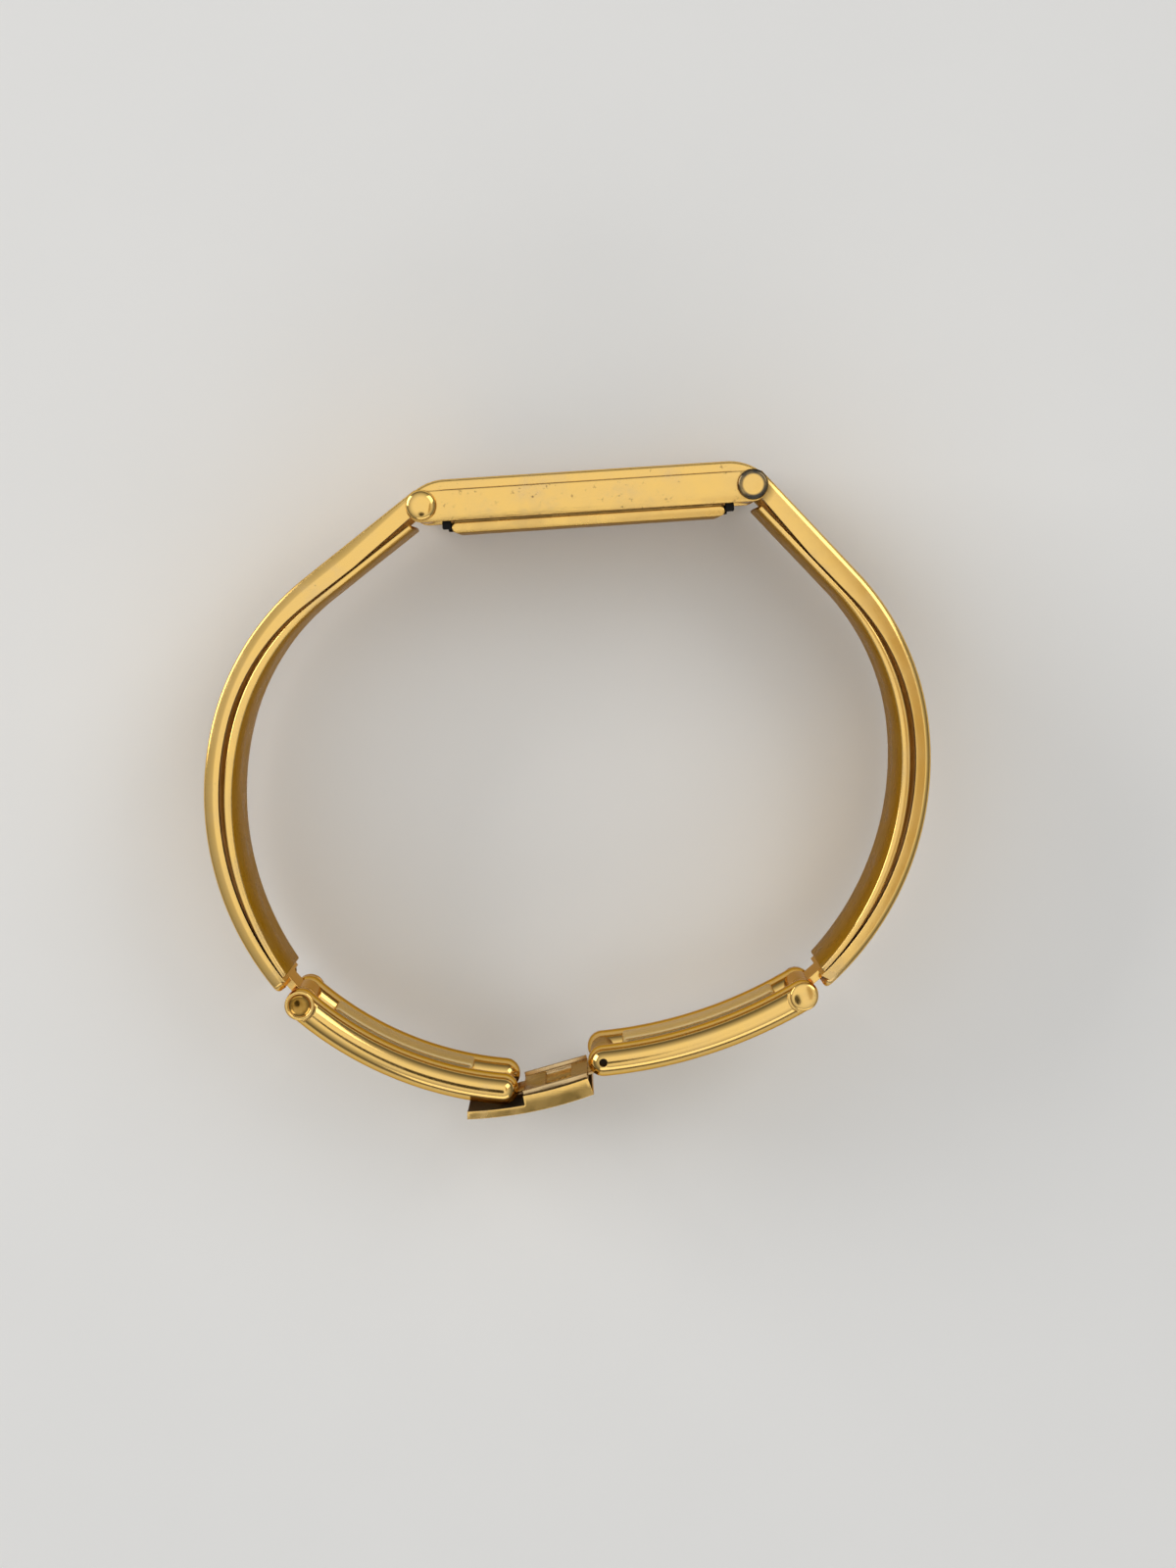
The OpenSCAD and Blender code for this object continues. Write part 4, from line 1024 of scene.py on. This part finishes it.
def link_rail(run, bulge, s):
    """One rounded rail with a round nose about each pin, made by half and mirrored."""
    r, half = bend_of(run, bulge)
    obj = rounded_section(s.rail_height, s.rail_width, 1.22, 8)
    bpy.ops.mesh.bisect(plane_co=(0.0, 0.0, 0.0), plane_no=(1.0, 0.0, 0.0), clear_inner=True)
    everything()
    stand_up()
    move(r)
    sweep_round(-math.pi, (r, 0.0), 20)
    close_up()
    pick_mid_face(obj)
    bpy.ops.mesh.dissolve_faces()
    pick_mid_face(obj)
    sweep_round(half, (0.0, 0.0), 22)
    bpy.ops.mesh.delete(type="ONLY_FACE")
    everything()
    tilt(-math.pi / 2 - half)
    stop_shaping()
    modify(obj, "MIRROR", use_axis=(True, False, False), merge_threshold=0.002, use_clip=True)
    start_shaping()
    close_up()
    move(run / 2, r * math.cos(half))
    stop_shaping()
    return obj


def link_rails(run, bulge, s, far_bore):
    """Both rails of a link, seated for the pin heads and bored for the far pin."""
    head_room, pin_bore = 1.42, 0.52
    near = shifted(link_rail(run, bulge, s), (0.0, 0.0, s.width / 2 - s.rail_width / 2))
    top = s.width / 2 - HEAD_SEAT
    cut_with(near, round_bar(head_room, top, top + 2.0))
    cut_with(near, round_bar(pin_bore, -1.0, top + 1.0, 32))
    if far_bore:
        cut_with(near, shifted(round_bar(far_bore, -1.0, s.width), (run, 0.0, 0.0)))
    return joined([near, mirrored(copy_of(near))])


def link_bar(run, bulge, s, start, stop):
    """Middle row of a link, a rounded bar with closed, eased ends."""
    r, half = bend_of(run, bulge)
    obj = rounded_section(BAR_HEIGHT, s.width - 2 * s.rail_width - 0.06, 0.85, 7)
    stand_up()
    move(r - BAR_DROP)
    a0, a1 = -math.pi / 2 - half + start / r, -math.pi / 2 + half - stop / r
    tilt(a0)
    sweep_round(a1 - a0, (0.0, 0.0), 28)
    close_up()
    for a, side in ((a0, -1), (a1, 1)):
        way = Vector((-math.sin(a), math.cos(a))) * side
        place = Vector((math.cos(a), math.sin(a))) * r
        pick(obj, lambda face: face.normal.xy.dot(way) > 0.9 and face.calc_area() > 3.0
             and (face.calc_center_median().xy - place).length < 1.0, "FACE")
        for step, k in ((0.12, 0.97), (0.12, 0.93), (0.08, 0.86)):
            pull(*(way * step))
            grow(k, k, k)
    close_up()
    move(run / 2, r * math.cos(half))
    stop_shaping()
    return obj


# Turned heads

def dome(radius, low, high, steps=8, start=0.1):
    """Steps of a low dome between two heights."""
    angles = [start + (math.pi / 2 - start) * k / steps for k in range(steps + 1)]
    return [(radius * math.cos(start + (a - start) * 0.985), low + (high - low) * math.sin(a))
            for a in angles]


def raised(base, steps):
    """Steps of radius and height, lifted on to a base."""
    return [(r, base + z) for r, z in steps]


def case_head(s, drum):
    """Head of a case pin: a flat drum with an eased rim, or a dome."""
    r, steps = s.pin_head, [(-0.06, -0.04), (0.0, 0.04)]
    if drum:
        steps += [(0.0, 0.36), (-0.02, 0.44), (-0.07, 0.51), (-0.15, 0.56), (-0.26, 0.585),
                  (-0.34, 0.58)]
        middle = [(0.80, 0.575), (0.45, 0.59), (0.2, 0.597), (0.02, 0.6)]
    else:
        steps += [(0.0, 0.20), (-0.03, 0.29), (-0.10, 0.37), (-0.21, 0.44), (-0.36, 0.50)]
        middle = [(0.70, 0.55), (0.42, 0.585), (0.2, 0.597), (0.02, 0.6)]
    return turned(raised(s.width / 2, [(r + dr, z) for dr, z in steps] + middle))


def link_pin(top, dished):
    """Pin of a link, with heads dished inside a rim, or low domes."""
    if dished:
        steps = raised(top, [
            (1.24, -0.05), (1.28, 0.3), (1.24, 0.4), (1.16, 0.44), (1.06, 0.44), (0.99, 0.40),
            (0.94, 0.30), (0.80, 0.20), (0.5, 0.13), (0.02, 0.11)])
    else:
        steps = [(1.20, top - 0.05), (1.20, top + 0.22)] + dome(1.20, top + 0.22, top + 0.42)
    return both_ends(turned(steps), round_bar(SHAFT, -top, top, 40))


# The pieces, one operator a group

class WATCH_OT_case(bpy.types.Operator):
    """Model the side plates, bezel, caseback, and the black blocks that stand in for the shade at
    its ends
    """
    bl_idname = "watch.case"
    bl_label = "Case"

    def execute(self, context):
        s = context.scene.watch_case
        for piece, name, finish, nodes, slot, smooth in (
                (case_walls(s), "case_walls", "case_gold", ["case_frame"], "gold", 40.0),
                (bezel_ring(s), "bezel_ring", "bezel_gold", ["bezel"], "gold", 30.0),
                (back_cover(s), "back_cover", "back_gold", ["caseback"], "gold", 35.0),
                # black blocks in the rubber finish: painted shade at the caseback ends
                (end_shade_blocks(), "end_shade_blocks", "seal_rubber", (), "seal", 35.0)):
            finish_piece(piece, name, finish, "case", nodes, slot, smooth, CASE)
            # painted shade: the underside of the caseback gets the darker gold
            if name == "back_cover":
                shade_by_facing(piece, "shaded_gold", lambda normal: normal.y < -0.9)
        return {"FINISHED"}


class WATCH_OT_case_pins(bpy.types.Operator):
    """Model the two case pins and the crown"""
    bl_idname = "watch.case_pins"
    bl_label = "Case pins and crown"

    def execute(self, context):
        s = context.scene.watch_case
        z = s.width / 2
        for name, drum, pin, finish in (
                ("left", False, LEFT_PIN, "pin_gold"), ("right", True, RIGHT_PIN, "worn_pin")):
            rivet = both_ends(case_head(s, drum), round_bar(SHAFT, -z, z, 40))
            finish_piece(rivet, name + "_case_rivet", finish, "case", [name + "_case_pin"],
                         "gold", 50.0, (pin.x, pin.y, MIDDLE_Z))
        crown = mirrored(shifted(fluted_crown(), (0.0, 0.0, z + 0.15)))
        finish_piece(crown, "fluted_crown", "pin_gold", "winder", ["crown"], "gold", 25.0,
                     (CASE.x, CASE.y + STEM_LEVEL, CASE.z))
        return {"FINISHED"}


class WATCH_OT_arms(bpy.types.Operator):
    """Model the outer shells and linings of both arms"""
    bl_idname = "watch.arms"
    bl_label = "Arms"

    def execute(self, context):
        s = context.scene.watch_arms
        for name, side, pin, foot, facet, drop in (
                ("left", -1, LEFT_PIN, LEFT_FOOT, 0.82, 0.26),
                ("right", 1, RIGHT_PIN, RIGHT_FOOT, 0.40, 0.20)):
            swing = math.asin(side * (foot.x - pin.x) / SPAN)
            spot = (pin.x, pin.y, MIDDLE_Z), side * swing, side < 0
            finish_piece(arm_band(s, facet, drop), name + "_arm_band", "arm_gold",
                         name + "_arm", [name + "_arm_shell"], "gold", 30.0, *spot)
            sheet = arm_lining(s)
            finish_piece(sheet, name + "_arm_sheet", "shaded_gold", name + "_arm",
                         [name + "_arm_lining"], "worn_gold", 30.0, *spot)
            # painted shade: the lining's edges get the bright arm gold, its inner faces keep the
            # darker gold
            shade_by_facing(sheet, "arm_gold", lambda normal: abs(normal.z) > 0.3)
        return {"FINISHED"}


class WATCH_OT_links(bpy.types.Operator):
    """Model the rails, middle rows and pins of both links"""
    bl_idname = "watch.links"
    bl_label = "Links"

    def execute(self, context):
        s = context.scene.watch_links
        top = s.width / 2 - HEAD_SEAT
        for name, side, foot, far, bulge, bore, start, stop, pin_finish in (
                ("left", -1, LEFT_FOOT, CATCH_BAR, s.left_bulge, 0.0, 3.0, 3.2, "dish_gold"),
                ("right", 1, RIGHT_FOOT, CLASP_PIN, s.right_bulge, 0.36, 2.4, 2.2, "pin_gold")):
            run = (far.xy - foot.xy).length
            slope = math.atan2(foot.y - far.y, abs(far.x - foot.x))
            spot = (foot.x, foot.y, MIDDLE_Z), slope * side, side > 0
            for piece, part, finish, node in (
                    (link_rails(run, bulge, s, bore), "side_rails", "link_gold", "rails"),
                    (link_bar(run, bulge, s, start, stop), "middle", "link_middle", "bar"),
                    (link_pin(top, side < 0), "rivet", pin_finish, "pin")):
                finish_piece(piece, name + "_link_" + part, finish, name + "_link",
                             [name + "_link_" + node], "gold", 40.0, *spot)
        return {"FINISHED"}


class WATCH_OT_clasp(bpy.types.Operator):
    """Model the curved cover and the slotted plate of the clasp"""
    bl_idname = "watch.clasp"
    bl_label = "Clasp"

    def execute(self, context):
        s = context.scene.watch_clasp
        way = CLASP_PIN - CATCH_BAR
        run = way.xy.length
        spot = (CLASP_PIN.x, CLASP_PIN.y, MIDDLE_Z), math.atan2(way.y, way.x), True
        cover = clasp_shell(s, run)
        finish_piece(cover, "clasp_shell", "clasp_gold", "clasp", ["clasp_cover"], "gold", 35.0,
                     *spot)
        # painted shade: the inner faces of the cover get the near black finish
        shade_by_facing(cover, "clasp_shaded_inside", lambda normal: normal.y > 0.8)
        finish_piece(clasp_plate(s, run), "clasp_slot_plate", "clasp_plate", "clasp",
                     ["clasp_ladder"], "worn_gold", 35.0, *spot)
        return {"FINISHED"}


class WATCH_OT_finishes(bpy.types.Operator):
    """Make the finishes and give each carried-over node its own"""
    bl_idname = "watch.finishes"
    bl_label = "Finishes"

    def execute(self, context):
        FINISHES.update(make_finishes(context.scene.watch_finishes))
        for finish, names in NODE_FINISHES.items():
            for name in names.split():
                node = frame["nodes"][name]
                node.data.materials.clear()
                node.data.materials.append(FINISHES[finish])
        return {"FINISHED"}


# Floor, light and camera

FLOOR_SIZE = 8.0
CARD_HEIGHT = 0.232
LAMP_TONE = (1.0, 0.985, 0.96)
# tones of the room's light at the horizon and straight up, and its levels at heights between
ROOM_ENDS = ((0.74, 0.735, 0.73, 1.0), (0.98, 0.98, 0.97, 1.0))
ROOM_LEVELS = ((0.10, 0.66), (0.20, 0.13), (0.40, 0.16), (0.58, 0.32), (0.8, 0.60), (0.95, 1.0))
# name, place, size and watts
LAMPS = (
    ("window_left", (-0.58, 0.30, 0.28), (0.45, 0.35), 2.0),
    ("window_right", (0.40, 0.30, 0.50), (0.30, 0.40), 0.75),
    ("fill_front", (0.05, -0.50, 0.35), (0.6, 0.2), 0.4))
# name, colour, size and place of cards over the watch, which show in its reflections alone
CARDS = (
    ("dark_card", (0.05, 0.04, 0.02), (0.062, 0.080), (-0.020, -0.067)),
    ("tan_card", (0.80, 0.66, 0.44), (0.050, 0.120), (0.076, -0.010)))
CAMERA_PLACE = (0.00173, 0.018, 0.3)
CAMERA_TURN = (-3.463, -0.205, -3.662)
CAMERA_LENS = 76.8


def lay_floor(tone):
    clear_bench()
    bpy.ops.mesh.primitive_plane_add(size=FLOOR_SIZE)
    floor = bpy.context.object
    floor.name = "floor"
    f = Finish("floor_paper")
    f.put("Base Color", f.blend(f.noise(60.0, 6.0, 0.6), tone, times(0.97, tone)))
    f.put("Roughness", 0.9)
    f.put("Specular IOR Level", 0.2)
    floor.data.materials.append(f.material)


def light_room(scene):
    """Soft light from all round: pale at the horizon, dim above it, bright overhead."""
    world = bpy.data.worlds.new("soft_room")
    scene.world = world
    world.use_nodes = True
    tree = world.node_tree
    place = tree.nodes.new("ShaderNodeTexCoord")
    parts = tree.nodes.new("ShaderNodeSeparateXYZ")
    ramp = tree.nodes.new("ShaderNodeValToRGB")
    for end, tone in enumerate(ROOM_ENDS):
        ramp.color_ramp.elements[end].color = tone
    for height, level in ROOM_LEVELS:
        step = ramp.color_ramp.elements.new(height)
        step.color = (level, level, 0.99 * level, 1.0)
    tree.links.new(place.outputs["Generated"], parts.inputs["Vector"])
    tree.links.new(parts.outputs["Z"], ramp.inputs["Fac"])
    tree.links.new(ramp.outputs["Color"], tree.nodes["Background"].inputs["Color"])


def hang_lamp(scene, name, place, size, power):
    """A rectangular lamp that points at the watch."""
    lamp = bpy.data.lights.new(name, "AREA")
    lamp.shape = "RECTANGLE"
    lamp.size, lamp.size_y = size
    lamp.energy = power
    lamp.color = LAMP_TONE
    obj = bpy.data.objects.new(name, lamp)
    scene.collection.objects.link(obj)
    obj.location = place
    obj.rotation_euler = (-Vector(place)).to_track_quat("-Z", "Y").to_euler()


def hang_card(name, tone, size, place):
    """An oval card over the watch."""
    card = new_disc(0.5, 24)
    card.name = name
    grow(*size)
    move(*place, CARD_HEIGHT)
    stop_shaping()
    f = Finish(name + "_face")
    f.put("Base Color", (*tone, 1.0))
    f.put("Roughness", 0.8)
    card.data.materials.append(f.material)
    card.visible_camera = card.visible_shadow = card.visible_diffuse = False


def set_camera(scene):
    lens = bpy.data.cameras.new("camera")
    lens.lens = CAMERA_LENS
    lens.sensor_fit = "VERTICAL"
    lens.sensor_height, lens.sensor_width = 36.0, 27.0
    lens.clip_start, lens.clip_end = 0.01, 10.0
    camera = bpy.data.objects.new("camera", lens)
    scene.collection.objects.link(camera)
    camera.location = CAMERA_PLACE
    camera.rotation_euler = tuple(math.radians(a) for a in CAMERA_TURN)
    scene.camera = camera


class WATCH_OT_stage(bpy.types.Operator):
    """Set the floor, the soft lights and the camera"""
    bl_idname = "watch.stage"
    bl_label = "Floor, lights and camera"

    def execute(self, context):
        scene = context.scene
        scene.view_settings.view_transform = "Standard"
        lay_floor(tuple(scene.watch_finishes.floor))
        light_room(scene)
        for lamp in LAMPS:
            hang_lamp(scene, *lamp)
        for card in CARDS:
            hang_card(*card)
        set_camera(scene)
        return {"FINISHED"}


STEPS = [
    WATCH_OT_finishes, WATCH_OT_stage, WATCH_OT_case, WATCH_OT_case_pins,
    WATCH_OT_arms, WATCH_OT_links, WATCH_OT_clasp,
]


class WATCH_PT_panel(bpy.types.Panel):
    """Lists the sizes, colours and steps of the watch"""
    bl_idname = "WATCH_PT_panel"
    bl_label = "Bangle watch"
    bl_space_type = "VIEW_3D"
    bl_region_type = "UI"
    bl_category = "Bangle watch"

    def draw(self, context):
        for name in GROUPS:
            group = getattr(context.scene, name)
            for key in group.bl_rna.properties.keys():
                if key not in ("rna_type", "name"):
                    self.layout.prop(group, key)
        for step in STEPS:
            self.layout.operator(step.bl_idname)


GROUPS = {"watch_case": CaseSizes, "watch_arms": ArmSizes, "watch_links": LinkSizes,
          "watch_clasp": ClaspSizes, "watch_finishes": Finishes}
CLASSES = [*GROUPS.values(), *STEPS, WATCH_PT_panel]


def register():
    for cls in CLASSES:
        bpy.utils.register_class(cls)
    for name, group in GROUPS.items():
        setattr(bpy.types.Scene, name, bpy.props.PointerProperty(type=group))


def unregister():
    for name in GROUPS:
        delattr(bpy.types.Scene, name)
    for cls in reversed(CLASSES):
        bpy.utils.unregister_class(cls)


def main():
    register()
    for step in STEPS:
        group, name = step.bl_idname.split(".")
        getattr(getattr(bpy.ops, group), name)()


if __name__ == "__main__":
    main()
